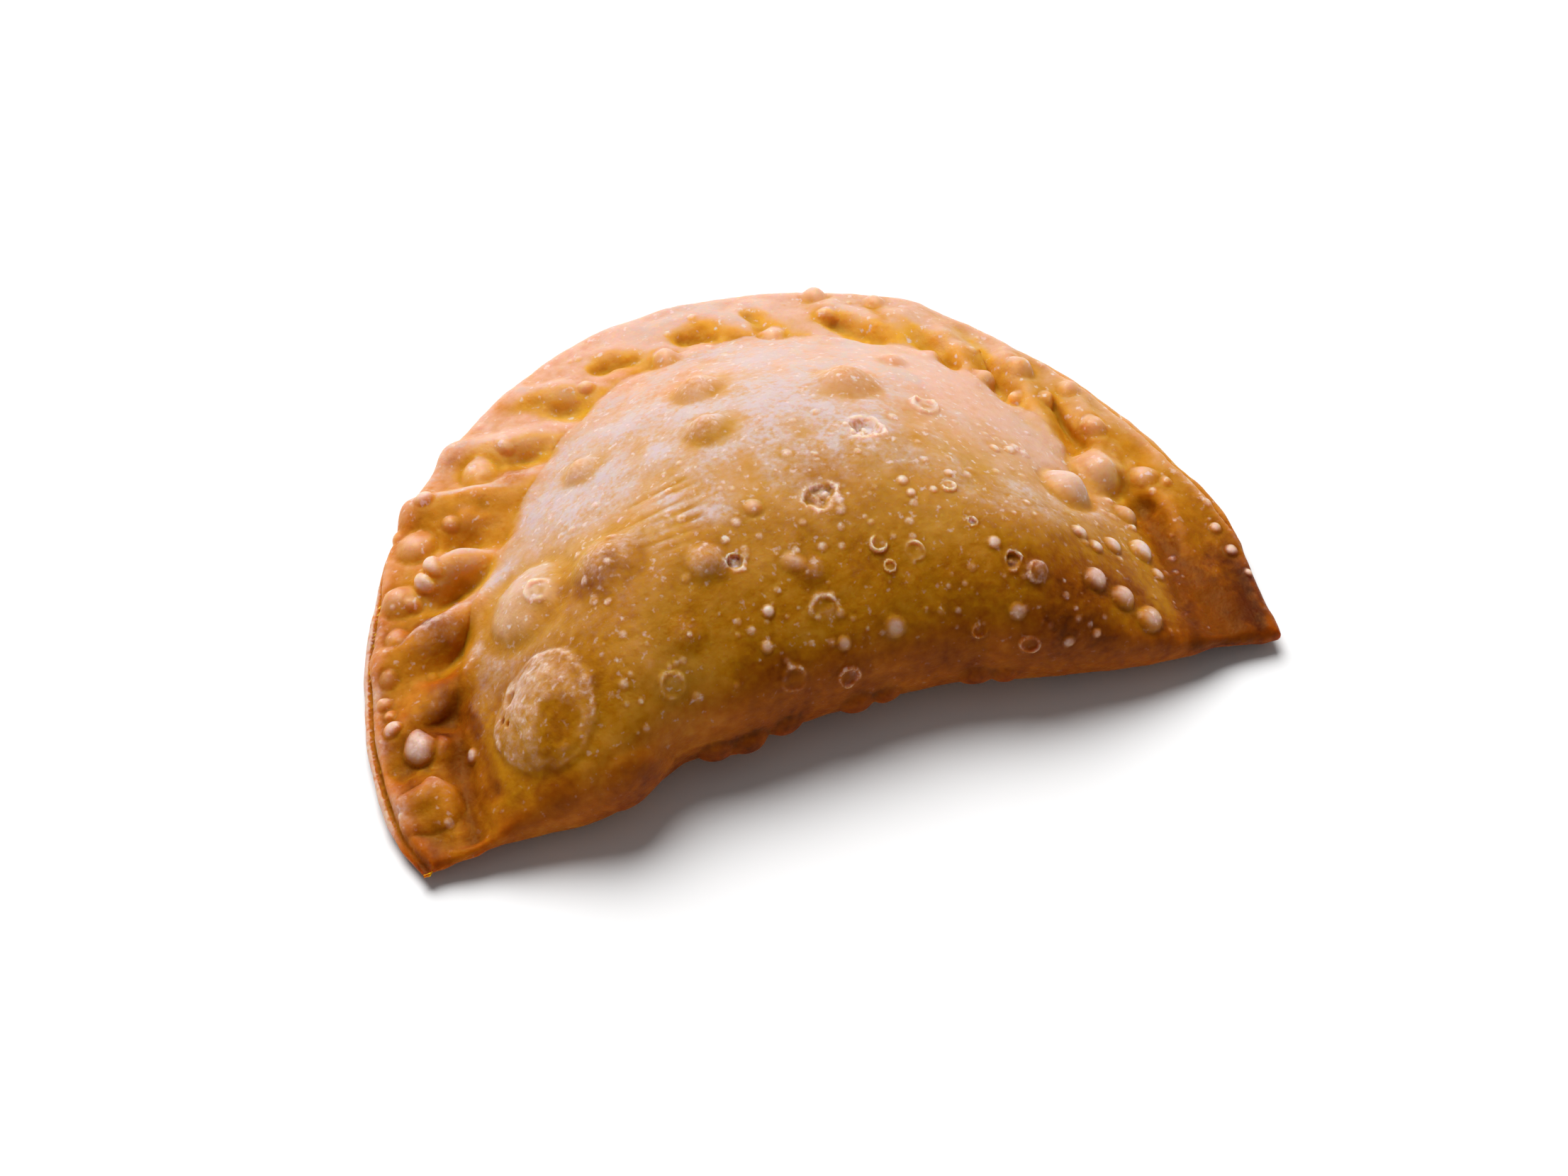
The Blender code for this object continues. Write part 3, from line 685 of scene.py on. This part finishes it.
def spacing_for(wanted):
    """The widest of the mesh spacings that is no wider than wanted."""
    steps = np.array(SPACINGS)
    return steps[np.clip(np.searchsorted(steps, wanted, side="right") - 1, 0, len(steps) - 1)]


def top_spacing(sheet):
    """Point spacing wanted on the top: closest on the small blisters, close along the rim."""
    x, y, inset, _ = laid(*sheet.T)
    spacing = np.where(inset < rim_width(rim_angle(x, y)) + 2, RIM_SPACING, BELLY_SPACING)
    for across, back, radius, _ in round_features():
        near = np.hypot(x - across, y - back) < 1.15 * radius + 0.15
        spacing[near] = np.minimum(spacing[near], spacing_for(BLISTER_SHARE * radius))
    return spacing


def underside_spacing(sheet):
    """Point spacing wanted underneath: close by the fold, wide elsewhere."""
    _, _, inset, behind = laid(*sheet.T)
    close = np.minimum(inset, behind) < FRONT_UNDERSIDE_REACH
    return np.where(close, FRONT_UNDERSIDE_SPACING, UNDERSIDE_SPACING)


def nearness(points, places):
    """How far each place is from the nearest of the points."""
    tree = kdtree.KDTree(len(points))
    for index, (x, y) in enumerate(points):
        tree.insert((x, y, 0), index)
    tree.balance()
    return np.array([tree.find((x, y, 0))[2] for x, y in places])


def scattered(taken, spacing_wanted):
    """Points over the sheet at the spacing wanted, finest first, clear of those already there."""
    chance = np.random.default_rng(SCATTER_SEED)
    chosen = [taken]
    for spacing in SPACINGS:
        rows = np.arange(SHEET_FRONT, SHEET_BACK, spacing * math.sqrt(0.75))
        columns = np.arange(-SHEET_HALF_LENGTH, SHEET_HALF_LENGTH, spacing)
        x, y = np.meshgrid(columns, rows)
        x[1::2] += spacing / 2
        grid = np.column_stack([x.ravel(), y.ravel()])
        grid += chance.uniform(-SCATTER_SHIFT, SCATTER_SHIFT, grid.shape) * spacing
        _, _, inset, behind = laid(*grid.T)
        grid = grid[(inset > 0) & (behind > 0)]
        grid = grid[spacing_wanted(grid) == spacing]
        if len(grid):
            chosen.append(grid[nearness(np.vstack(chosen), grid) > CLEAR_SHARE * spacing])
    return np.vstack(chosen[1:])


def triangles(outline, inner):
    """The sheet inside its outline as triangles of the given points."""
    points = [Vector(point) for point in np.vstack([outline, inner])]
    count = len(outline)
    edges = [(index, (index + 1) % count) for index in range(count)]
    _, _, faces, sources, _, _ = delaunay_2d_cdt(points, edges, [], 1, 1e-6)
    return np.array([[sources[corner][0] for corner in face] for face in faces])


def outward(points, faces):
    """The outward direction at each point."""
    corners = points[faces]
    across = np.cross(corners[:, 1] - corners[:, 0], corners[:, 2] - corners[:, 0])
    total = np.zeros_like(points)
    for corner in range(3):
        np.add.at(total, faces[:, corner], across)
    return total / np.linalg.norm(total, axis=1)[:, None]


def lumps(points, size):
    """Smooth random lumps of this size, from -1 to 1."""
    table = np.random.default_rng(LATTICE_SEED).uniform(-1, 1, (LATTICE,) * 3)
    spot = points / size + LATTICE
    cell = np.floor(spot).astype(int)
    share = ease(spot - cell)
    total = np.zeros(len(points))
    for corner in np.ndindex(2, 2, 2):
        weight = np.prod(np.where(corner, share, 1 - share), axis=1)
        total += weight * table[tuple(((cell + corner) % LATTICE).T)]
    return total


class Dough:
    """The whole surface of the pasty while it is blistered and browned."""

    def __init__(self):
        outline = sheet_outline()
        rows = edge_rows()
        top = np.vstack([rows, scattered(np.vstack([outline, rows]), top_spacing)])
        base = scattered(outline, underside_spacing)
        top_faces = triangles(outline, top)
        base_faces = triangles(outline, base)[:, ::-1]
        base_faces = np.where(base_faces < len(outline), base_faces, base_faces + len(top))
        used, corners = np.unique(np.vstack([top_faces, base_faces]), return_inverse=True)
        self.faces = corners.reshape(-1, 3)
        self.on_top = used < len(outline) + len(top)
        sheet = np.vstack([outline, top, base])[used]
        places = laid(*sheet.T)
        self.x, self.y, self.inset, self.behind = places
        self.pressed = np.where(self.on_top, -crimped(*places[:3]), 0)
        height = np.where(self.on_top, upper_face(*places) - self.pressed, lower_face(*places))
        self.points = np.column_stack([self.x, self.y, height])
        self.out = outward(self.points, self.faces)
        self.angle = rim_angle(self.x, self.y)
        self.rim = rim_width(self.angle)
        self.in_rim = 1 - between(self.inset - self.rim, *RIM_MIX)
        self.wobble = 1 + WOBBLE * self.lumps(WOBBLE_SIZE)
        self.lift = np.zeros(len(sheet))
        self.shift = np.zeros_like(self.points)
        for name in PAINTED:
            setattr(self, name, np.zeros(len(sheet)))

    def lumps(self, size):
        """Smooth random lumps of this size, from -1 to 1."""
        return lumps(self.points, size)

    def share_from(self, x, y, radius):
        """How far each point is from the middle of a blister, in shares of its radius."""
        inset = rim_reach(rim_angle(x, y)) - math.hypot(x, y)
        height = upper_face(x, y, inset, y - fold_line(x)) + crimped(np.array([x]), np.array([y]), inset)[0]
        share = np.linalg.norm(self.points - (x, y, height), axis=1) / radius
        share *= 1 + (self.wobble - 1) * min(1, WOBBLE_REACH / radius)
        return np.where(self.on_top, share, OFF_THE_TOP)

    def line(self, start_x, start_y, end_x, end_y):
        """How far the top is from a line in plan, how far along it, and on which side."""
        run = np.array([end_x - start_x, end_y - start_y])
        off = np.column_stack([self.x - start_x, self.y - start_y])
        along = off @ run / (run @ run)
        way = np.linalg.norm(off - held(along)[:, None] * run, axis=1) * self.wobble
        way = np.where(self.on_top, way, OFF_THE_TOP)
        aside = (run[0] * off[:, 1] - run[1] * off[:, 0]) / np.linalg.norm(run)
        return way, along, np.clip(aside / np.maximum(way, LEAST_WAY), -1, 1)

    def spots(self, table):
        """Soft round spots added up, each X, Y, reach, amount."""
        across, back, reach, amount = np.array(table).T
        spread = (self.x[:, None] - across) ** 2 + (self.y[:, None] - back) ** 2
        return np.exp(-spread / reach ** 2) @ amount

    def hollowness(self):
        """How far each point lies below the dough close round it; less than 0 where it stands proud."""
        points = self.raised()
        ends = self.faces[:, [0, 1, 1, 2, 2, 0]].reshape(-1, 2)
        count = np.bincount(ends.ravel(), minlength=len(points))[:, None]
        smooth = points
        for _ in range(SMOOTHINGS):
            total = np.zeros_like(points)
            np.add.at(total, ends[:, 0], smooth[ends[:, 1]])
            np.add.at(total, ends[:, 1], smooth[ends[:, 0]])
            smooth = total / count
        return np.sum((smooth - points) * self.out, axis=1)

    def raised(self):
        """The points with their relief."""
        return self.points + self.out * self.lift[:, None] + self.shift

    def finished(self):
        """The points with their relief, none of it below the floor."""
        points = self.raised()
        points[:, 2] = np.maximum(points[:, 2], 0)
        return points


def add_unevenness(dough):
    """Makes the dough uneven, most of all on the rim."""
    in_rim = 1 - between(dough.inset, dough.rim, dough.rim + 4)
    for size, height in UNEVENNESS:
        dough.lift += height * dough.lumps(size)
    for size, height in RIM_UNEVENNESS:
        dough.lift += height * dough.lumps(size) * in_rim * between(dough.inset, 0.5, 3)


def add_swellings(dough):
    """Broad low swellings that brown on top."""
    for x, y, radius, height in SWELLINGS:
        share = dough.share_from(x, y, radius)
        rise = domed(share)
        dough.lift += height * rise ** 2
        dough.browning += SWELLING_BROWNING * rise
        dough.milkiness -= SWELLING_HAZE_LOST * np.exp(-1.5 * share * share) * (1 + 0.8 * dough.lumps(2.2))


def raise_dome(dough, share, height):
    """Raises a round dome in one direction, whatever the dough under it does."""
    rise = domed(share)
    near = share < 1
    up = dough.out[near].mean(axis=0)
    up /= np.linalg.norm(up)
    off = (dough.points - dough.points[near].mean(axis=0)) @ up
    level = height * rise ** DOME_POWER - off * between(rise, 0, DOME_LEVELLED)
    dough.shift[near] += level[near, None] * up


def set_foot(dough, share, height):
    """Sinks the dough round the foot of a blister and marks its skin."""
    dough.lift -= FOOT_DIP * height * hill(share, FOOT_AT, FOOT_SPREAD)
    dough.blistered = np.maximum(dough.blistered, 1 - between(share, *SKIN_ENDS))


def add_domes(dough):
    """Smooth round blisters with golden feet and drier tops."""
    for x, y, radius, height in DOMES:
        share = dough.share_from(x, y, radius)
        raise_dome(dough, share, height)
        set_foot(dough, share, height)
        dough.dryness += DOME_DRYNESS * (1 - between(share, *DOME_DRY_TO))


def add_pearls(dough):
    """Small tight blisters with pale skin."""
    for x, y, radius, height in PEARLS:
        share = dough.share_from(x, y, radius)
        dough.lift += height * domed(share) ** PEARL_POWER
        set_foot(dough, share, height)
        dough.dryness += PEARL_DRYNESS * (1 - between(share, *PEARL_DRY_TO))
        dough.oiliness += PEARL_OIL * hill(share, *PEARL_OIL_AT)


def add_tiny_blisters(dough):
    """Fine pale blisters like grains, the larger ones softer."""
    patchy = 0.5 + 0.5 * dough.lumps(4)
    for x, y, radius, height in tiny_blisters():
        rise = domed(dough.share_from(x, y, radius))
        dough.lift += height * rise
        dough.dryness += TINY_DRYNESS * patchy * rise ** 0.7


def add_rings(dough):
    """Blisters that have sunk in the middle and kept a pale, broken edge."""
    uneven = np.clip(0.7 + 1.3 * dough.lumps(1.7), 0, 1.8)
    grains = dough.lumps(GRAIN_SIZE)
    for x, y, radius, height in RINGS:
        share = dough.share_from(x, y, radius)
        inside = 1 - between(share, *RING_INSIDE)
        dough.lift += height * (uneven * hill(share, *RING_EDGE_AT) + (0.3 + 0.25 * grains) * inside)
        dough.dryness += 0.3 * uneven * hill(share, *RING_PALE_AT) + (0.08 + 0.16 * grains) * inside


def add_bursts(dough):
    """Torn blisters: a ragged pale lip round a crumbly hole."""
    ragged = 1 + 0.3 * dough.lumps(1.5) + 0.15 * dough.lumps(GRAIN_SIZE)
    broken = np.clip(0.8 + 1.2 * dough.lumps(1.3), 0.1, 1.6)
    crumbs = dough.lumps(GRAIN_SIZE) + 0.5 * dough.lumps(0.5)
    for x, y, radius, depth, pale in BURSTS:
        share = dough.share_from(x, y, radius) * ragged
        hole = 1 - between(share, *BURST_HOLE)
        dough.lift += BURST_LIP * broken * hill(share, *BURST_LIP_AT)
        dough.lift += hole * (BURST_CRUMBS * crumbs - depth)
        dough.dryness += BURST_PALENESS * broken * hill(share, *BURST_PALE_AT)
        dough.dryness += hole * (pale + 0.3 * crumbs)
        dough.milkiness -= 0.6 * hole
        dough.char += 0.12 * hole


def add_rough_blister(dough):
    """The biggest blister: crumbly dry skin, a thin raised edge and sunk places."""
    x, y, radius, height = ROUGH_BLISTER
    share = dough.share_from(x, y, radius)
    rise = domed(share)
    streaks = lumps(dough.points @ np.array(ROUGH_STREAKS), ROUGH_STREAK_SIZE)
    crumbs = 0.6 * dough.lumps(1.5) + 0.6 * dough.lumps(0.75) + 0.9 * streaks
    skin = between(rise, 0, 0.3)
    across, back = ROUGH_DRY_WAY
    far_side = held(0.5 + 0.5 * (back * (dough.y - y) + across * (dough.x - x)) / radius)
    edge = hill(share, *ROUGH_EDGE_AT) * np.clip(0.6 + 1.2 * dough.lumps(2.6), 0, 1.5)
    dough.lift += height * rise ** ROUGH_POWER + ROUGH_CRUMBS * crumbs * skin + ROUGH_EDGE * edge
    dough.dryness += skin * (0.17 * far_side + 0.12 * crumbs) + 0.18 * edge
    broken = held(0.5 + dough.lumps(2.6))
    for x, y, radius, depth in ROUGH_HOLLOWS:
        share = dough.share_from(x, y, radius)
        sunk = domed(share)
        dough.lift += 0.1 * hill(share, 1, 0.12) * broken - depth * sunk
        dough.dryness -= 0.08 * sunk
        dough.browning += 0.05 * sunk
        dough.char += 0.4 * sunk * between(radius, 1, 0.8)


def add_pillow(dough):
    """The puffed square of dough by the left tip."""
    x, y, half_width, half_length, height = PILLOW
    across = np.abs((dough.x - x) / half_width) * dough.wobble
    along = np.abs((dough.y - y) / half_length) * dough.wobble
    share = (across ** PILLOW_SQUARENESS + along ** PILLOW_SQUARENESS) ** (1 / PILLOW_SQUARENESS)
    dough.lift += height * domed(share) ** 0.6 * dough.on_top


def add_fold_blisters(dough):
    """Dark blisters that hang under the fold."""
    for x, round_fold, radius, height in FOLD_BLISTERS:
        back = sheet_front(x) + abs(round_fold)
        x, y, inset, behind = (value[0] for value in laid(np.array([x]), np.array([back])))
        face = upper_face if round_fold > 0 else lower_face
        middle = (x, y, float(face(x, y, inset, behind)))
        rise = domed(np.linalg.norm(dough.points - middle, axis=1) / radius * dough.wobble)
        dough.lift += height * rise ** FOLD_BLISTER_POWER
        dough.browning += FOLD_BLISTER_BROWNING * rise


def add_ridges(dough):
    """Folds of dough between the crimp marks: a painted highlight on each crest, and an oiled valley in
    front, browned darker as partly painted shade.
    """
    for *ends, height in RIDGES:
        way, along, side = dough.line(*ends)
        width = mixed(RIDGE_FRONT_WIDTH, RIDGE_BACK_WIDTH, 0.5 + 0.5 * side)
        tapered = 1 - RIDGE_TAPER * between(along, 0.5, 1.1)
        dough.lift += height * tapered * hill(way, 0, width)
        # Painted highlight along the crest
        dough.milkiness += RIDGE_PAINTED_HIGHLIGHT * tapered * hill(way, 0, RIDGE_CREST * RIDGE_BACK_WIDTH)
        # The valley in front is browned darker, partly painted shade
        valley = hill(way, RIDGE_FRONT_WIDTH, RIDGE_CREST * RIDGE_FRONT_WIDTH)
        valley *= tapered * held(-side)
        dough.browning += VALLEY_SHADE_BROWNING * valley
        dough.oiliness += VALLEY_OIL * valley


def add_creases(dough):
    """The creases beside the belly, dark with oil and with browning that is partly painted shade."""
    for *ends, half_width, depth in CREASES:
        way, _, _ = dough.line(*ends)
        sunk = hill(way, 0, half_width)
        dough.lift -= depth * sunk
        dough.oiliness += CREASE_OIL * sunk
        # Darker browning along the crease, partly painted shade
        dough.browning += CREASE_SHADE_BROWNING * sunk


def add_wrinkles(dough):
    """Fine creases side by side on the belly, deepest halfway along."""
    for ends in WRINKLES:
        way, along, _ = dough.line(*ends)
        sunk = hill(way, 0, WRINKLE_HALF_WIDTH)
        sunk *= hill(along, 0.5, 0.42) * (0.8 + 0.5 * dough.lumps(3))
        dough.lift -= WRINKLE_DEPTH * sunk
        dough.milkiness -= 0.4 * sunk
        dough.oiliness += WRINKLE_OIL * sunk


def brown(dough):
    """Browns the dough: least at the back of the belly, most by the fold and at the tips."""
    rim_tone = np.interp(dough.angle, *zip(*RIM_BROWNING))
    belly_tone = np.interp(dough.behind, *zip(*BELLY_BROWNING))
    # The patches include painted light that lifts the shade under a dome and in deep crimp marks
    tone = mixed(belly_tone, rim_tone, dough.in_rim) + dough.spots(BROWNING_AND_LIGHT_PATCHES)
    tone = np.where(dough.on_top, tone, np.maximum(tone, UNDERSIDE_BROWNING))
    dough.browning += tone + UNEVEN_BROWNING * (dough.lumps(9) + dough.lumps(3))
    dough.ruddiness += dough.in_rim * np.interp(dough.angle, *zip(*RIM_RUDDINESS))
    dough.ruddiness += hill(dough.behind, 0, FOLD_RUDDY_REACH) + 0.15 * dough.lumps(5)
    dough.ruddiness += dough.spots(PEACH_PATCHES)
    past_fold = between(dough.behind, *BELLY_DRY_FROM)
    dough.dryness += BELLY_DRYNESS * past_fold * (1 - dough.in_rim) * dough.on_top
    dough.milkiness += dough.spots(MILK_AND_SHEEN_PATCHES) * dough.on_top


def part_the_layers(dough):
    """A fine groove where the rim's lower layer stands out past the upper one."""
    step = ledge(dough.angle)
    parted = between(step, 0.3, 1) * between(dough.behind, *GROOVE_STARTS) * dough.on_top
    groove = hill(dough.inset, step - 0.1, GROOVE_HALF_WIDTH) * parted
    dough.lift -= GROOVE_DEPTH * groove
    dough.oiliness += groove
    dough.browning += GROOVE_BROWNING * groove
    outside = parted * between(step - dough.inset, 0.1, 0.5) * between(-dough.x, *HAZY_LOWER_LAYER)
    dough.milkiness += LOWER_LAYER_HAZE * outside


def settle_oil_and_hollow_light(dough):
    """Oil gathers in every hollow, browned darker as partly painted shade; proud places dry pale, partly a
    painted highlight.
    """
    hollow = dough.hollowness() / HOLLOW_DEPTH
    pressed = held(dough.pressed / CRIMP_CLEAR_DEPTH)
    # The painted sheen leaves the hollows and crimp marks and grows on what stands proud
    dough.milkiness *= (1 - np.clip(hollow, LEAST_HOLLOW, 1)) * (1 - pressed)
    dough.dryness *= 1 - CRIMP_DRYNESS_LOST * pressed
    dough.ruddiness *= 1 - CRIMP_RUDDINESS_LOST * pressed
    # The oil in the crimp marks is partly a painted glow in their shade
    dough.oiliness += CRIMP_OIL_AND_GLOW * pressed + OIL_IN_HOLLOWS * held(hollow)
    # Darker browning in the hollows, partly painted shade
    dough.browning += HOLLOW_SHADE_BROWNING * np.clip(hollow, -1, 1)
    # Pale dry crests, partly a painted highlight
    crest = held(-hollow) * between(dough.behind, *CRESTS_START) * dough.on_top
    dough.dryness += CREST_HIGHLIGHT_DRYNESS * crest


def paint_sheen_and_shaded_glow(dough):
    """Paints a pale sheen on what faces the light, and a golden glow of oil on rim and blister slopes in
    shade.
    """
    finished = outward(dough.finished(), dough.faces)
    lean = dough.out + DETAIL_SHARE * (finished - dough.out)
    way = Vector(PAINTED_LIGHT_WAY).normalized()
    patchy = 1 + 0.5 * dough.lumps(6) + 0.5 * lumps(dough.points * STREAK_SQUEEZE, STREAK_SIZE)
    patchy *= between(dough.behind, *PAINTED_SHEEN_STARTS)
    sheen_strength = PAINTED_SHEEN * (1 - (1 - RIM_PAINTED_SHEEN) * dough.in_rim)
    # Painted sheen on what faces up and back, toward the light
    dough.milkiness += sheen_strength * between(lean @ way, *PAINTED_SHEEN_FACING) * patchy
    # Painted glow in the shade on the rim and blister slopes that face away from the light
    shaded_glow = dough.in_rim * between(dough.inset, *SHADED_GLOW_FROM_EDGE)
    shaded_glow = np.maximum(shaded_glow, SHADED_GLOW_ON_BLISTERS * dough.blistered) * dough.on_top
    shaded_glow *= 1 - between(finished @ way, *LIT_FACING)
    dough.ruddiness *= 1 - SHADED_GLOW_RUDDINESS_LOST * shaded_glow
    dough.oiliness += SHADED_GLOW_OIL * shaded_glow
    dough.milkiness *= 1 - shaded_glow


def pasty_shape():
    """The finished dough."""
    dough = Dough()
    rolled_out = (brown, part_the_layers, add_unevenness)
    blistered = (add_swellings, add_domes, add_pearls, add_tiny_blisters, add_rings, add_bursts)
    puffed = (add_rough_blister, add_fold_blisters, add_ridges, add_creases, add_wrinkles, add_pillow)
    for work in rolled_out + blistered + puffed + (paint_sheen_and_shaded_glow, settle_oil_and_hollow_light):
        work(dough)
    return dough


class Wire:
    """The value at one socket. Sums and products of wires become Math nodes."""

    def __init__(self, finish, socket):
        self.finish = finish
        self.socket = socket

    def math(self, operation, first, second):
        return self.finish.node("ShaderNodeMath", {"operation": operation}, {0: first, 1: second})

    def __add__(self, other):
        return self.math("ADD", self, other)

    def __sub__(self, other):
        return self.math("SUBTRACT", self, other)

    def __rsub__(self, other):
        return self.math("SUBTRACT", other, self)

    def __mul__(self, other):
        return self.math("MULTIPLY", self, other)

    __radd__ = __add__
    __rmul__ = __mul__


class Finish:
    """A material and the nodes that make it."""

    def __init__(self, name):
        self.material = bpy.data.materials.new(name)
        self.material.use_nodes = True
        self.tree = self.material.node_tree
        self.surface = self.tree.nodes["Principled BSDF"]

    def node(self, kind, settings=None, inputs=None, output=0):
        """Adds a node and gives its sockets their values or links."""
        made = self.tree.nodes.new(kind)
        for name, value in (settings or {}).items():
            setattr(made, name, value)
        for name, value in (inputs or {}).items():
            self.join(value, made.inputs[name])
        return Wire(self, made.outputs[output])

    def join(self, value, socket):
        if isinstance(value, Wire):
            self.tree.links.new(value.socket, socket)
        elif socket.type == "RGBA":
            socket.default_value = (*value, 1)
        else:
            socket.default_value = value

    def set_surface(self, inputs):
        for name, value in inputs.items():
            self.join(value, self.surface.inputs[name])

    def blend(self, share, first, second):
        """A colour this share of the way from the first to the second."""
        return self.node("ShaderNodeMix", {"data_type": "RGBA"}, {0: share, 6: first, 7: second}, output=2)

    def ramp(self, share, stops):
        """The colour at this share along the stops."""
        wire = self.node("ShaderNodeValToRGB", inputs={"Fac": share})
        ramp = wire.socket.node.color_ramp
        while len(ramp.elements) < len(stops):
            ramp.elements.new(1)
        for element, (position, colour) in zip(ramp.elements, stops):
            element.position = position
            element.color = (*colour, 1)
        return wire

    def eased(self, value, start, end):
        """0 at the start and 1 at the end, with level ends."""
        smooth = {"interpolation_type": "SMOOTHSTEP"}
        return self.node("ShaderNodeMapRange", smooth, {0: value, 1: start, 2: end})

    def painted(self, name):
        """A value that the mesh carries at each point."""
        return self.node("ShaderNodeAttribute", {"attribute_name": name}, output="Fac")

    def place(self):
        return self.node("ShaderNodeTexCoord", output="Object")

    def mottle(self, size, detail=2):
        """Soft mottling of this size in metres, from -0.5 to 0.5."""
        inputs = {"Vector": self.place(), "Scale": 1 / size, "Detail": detail}
        return self.node("ShaderNodeTexNoise", inputs=inputs) - 0.5

    def cells(self, size):
        """How far each place is from the nearest of points about this far apart."""
        return self.node("ShaderNodeTexVoronoi", inputs={"Vector": self.place(), "Scale": 1 / size})


def crust_colour(crust, browned, dried):
    """The dough's colour: fried, then oiled, hazed with fat and painted sheen, dried and burnt in turn."""
    ruddiness = crust.painted("ruddiness")
    colour = crust.blend(ruddiness, crust.ramp(browned, GOLDEN_TONES), crust.ramp(browned, RUDDY_TONES))
    oiled = crust.painted("oiliness") * (crust.mottle(0.003) * 0.6 + 0.75)
    colour = crust.blend(crust.eased(oiled, 0.05, 1), colour, crust.ramp(browned, OIL_TONES))
    hazy = crust.mottle(0.005, 4) * 2 + crust.mottle(0.0009, 3) * 2.6 + 1
    # The haze, both the filling's fat and painted sheen, is lilac where the dough is not ruddy and peach
    # where it is
    milk = crust.blend(ruddiness, LILAC_MILK_SHEEN_COLOUR, MILK_SHEEN_COLOUR)
    milk_sheen_share = crust.eased(crust.painted("milkiness") * hazy, 0, 1.3) * MOST_MILK_SHEEN
    colour = crust.blend(milk_sheen_share, colour, milk)
    colour = crust.blend(crust.eased(dried, 0.05, 1), colour, SKIN_COLOUR)
    burnt = crust.painted("char") + crust.mottle(0.0009) * 0.3
    return crust.blend(crust.eased(burnt, 0.1, 1), colour, CHAR_COLOUR)


def crust_finish():
    """Fried dough: browned, oily in its creases, dry and pale on its blisters."""
    crust = Finish("fried_crust")
    blistered = crust.painted("blistered")
    uneven = crust.mottle(0.008, 3) + crust.mottle(0.0014, 3)
    browned = crust.painted("browning") + uneven * BROWN_MOTTLE
    flecks = crust.eased(crust.mottle(0.0012, 2), 0.08, 0.26) * (1.1 - browned) * 0.9
    crumbly = crust.mottle(0.0007, 3) * (2.4 - blistered * 1.6)
    dried = crust.painted("dryness") * (crumbly + 1) + flecks
    grain = crust.mottle(0.00045, 2) * 0.35 + crust.mottle(0.0016, 3) * 0.8
    bubbles = crust.eased(crust.cells(0.0011), 0.45, 0) * 0.25
    crust.set_surface({
        "Base Color": crust_colour(crust, browned, dried),
        "Roughness": dried * 0.22 + crust.mottle(0.002) * 0.18 + CRUST_ROUGHNESS,
        "Normal": crust.node("ShaderNodeBump", inputs={**BUMP, "Height": grain + bubbles}),
        "Coat Weight": blistered * SHEEN,
    })
    crust.set_surface(EVEN_LOOKS)
    return crust.material


def placed(name, data):
    """An object made of this data, in the scene."""
    thing = bpy.data.objects.new(name, data)
    bpy.context.scene.collection.objects.link(thing)
    return thing


def make_pasty():
    """The fried pasty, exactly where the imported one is."""
    dough = pasty_shape()
    low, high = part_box("pasty")
    scale = (high.x - low.x) / TIP_TO_TIP
    points = dough.finished() - (TIPS_MIDDLE, RIM_DEPTH, 0)
    points = points * scale + ((low.x + high.x) / 2, high.y, low.z)
    mesh = bpy.data.meshes.new("fried_pasty")
    mesh.from_pydata(points.tolist(), [], dough.faces.tolist())
    mesh.shade_smooth()
    for name in PAINTED:
        painted = mesh.attributes.new(name, "FLOAT", "POINT")
        painted.data.foreach_set("value", held(getattr(dough, name)).astype(np.float32))
    mesh.materials.append(crust_finish())
    pasty = placed("fried_pasty", mesh)
    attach(pasty, BODY)
    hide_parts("pasty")


def make_floor():
    """A wide white floor that the pasty lies on."""
    plain = Finish("white_floor")
    plain.set_surface({"Base Color": FLOOR_COLOUR, "Roughness": 1, "Specular IOR Level": 0})
    mesh = bpy.data.meshes.new("floor")
    corners = ((-1, -1), (1, -1), (1, 1), (-1, 1))
    mesh.from_pydata([(x * FLOOR_HALF_SIZE, y * FLOOR_HALF_SIZE, 0) for x, y in corners], [], [range(4)])
    mesh.materials.append(plain.material)
    placed("floor", mesh)


def pointing(azimuth, elevation):
    """The way down from this height over the horizon, turned from +Y toward +X."""
    turn, down = math.radians(azimuth), math.radians(elevation)
    return Vector((math.sin(turn) * math.cos(down), math.cos(turn) * math.cos(down), -math.sin(down)))


def make_light():
    """One wide soft lamp from the back left, and a faint even glow."""
    lamp = bpy.data.lights.new("window", "SUN")
    lamp.energy = LAMP_STRENGTH
    lamp.angle = math.radians(LAMP_SPREAD)
    window = placed("window", lamp)
    window.rotation_euler = pointing(LAMP_AZIMUTH, LAMP_ELEVATION).to_track_quat("-Z", "Y").to_euler()
    world = bpy.data.worlds.new("room")
    world.use_nodes = True
    glow = world.node_tree.nodes["Background"]
    glow.inputs["Color"].default_value = (1, 1, 1, 1)
    glow.inputs["Strength"].default_value = ROOM_STRENGTH
    bpy.context.scene.world = world
    bpy.context.scene.view_settings.view_transform = "Standard"


def make_camera():
    """Looks down on the front of the pasty from a little left of it."""
    data = bpy.data.cameras.new("camera")
    data.lens = CAMERA_LENS
    camera = placed("camera", data)
    toward = pointing(CAMERA_AZIMUTH, CAMERA_ELEVATION)
    low, high = cad_box
    target = Vector((low.x + high.x, low.y + high.y, 0)) / 2 + Vector(CAMERA_TARGET)
    camera.location = target - CAMERA_DISTANCE * toward
    camera.rotation_euler = toward.to_track_quat("-Z", "Y").to_euler()
    bpy.context.scene.camera = camera


make_camera()
make_light()
make_floor()
make_pasty()
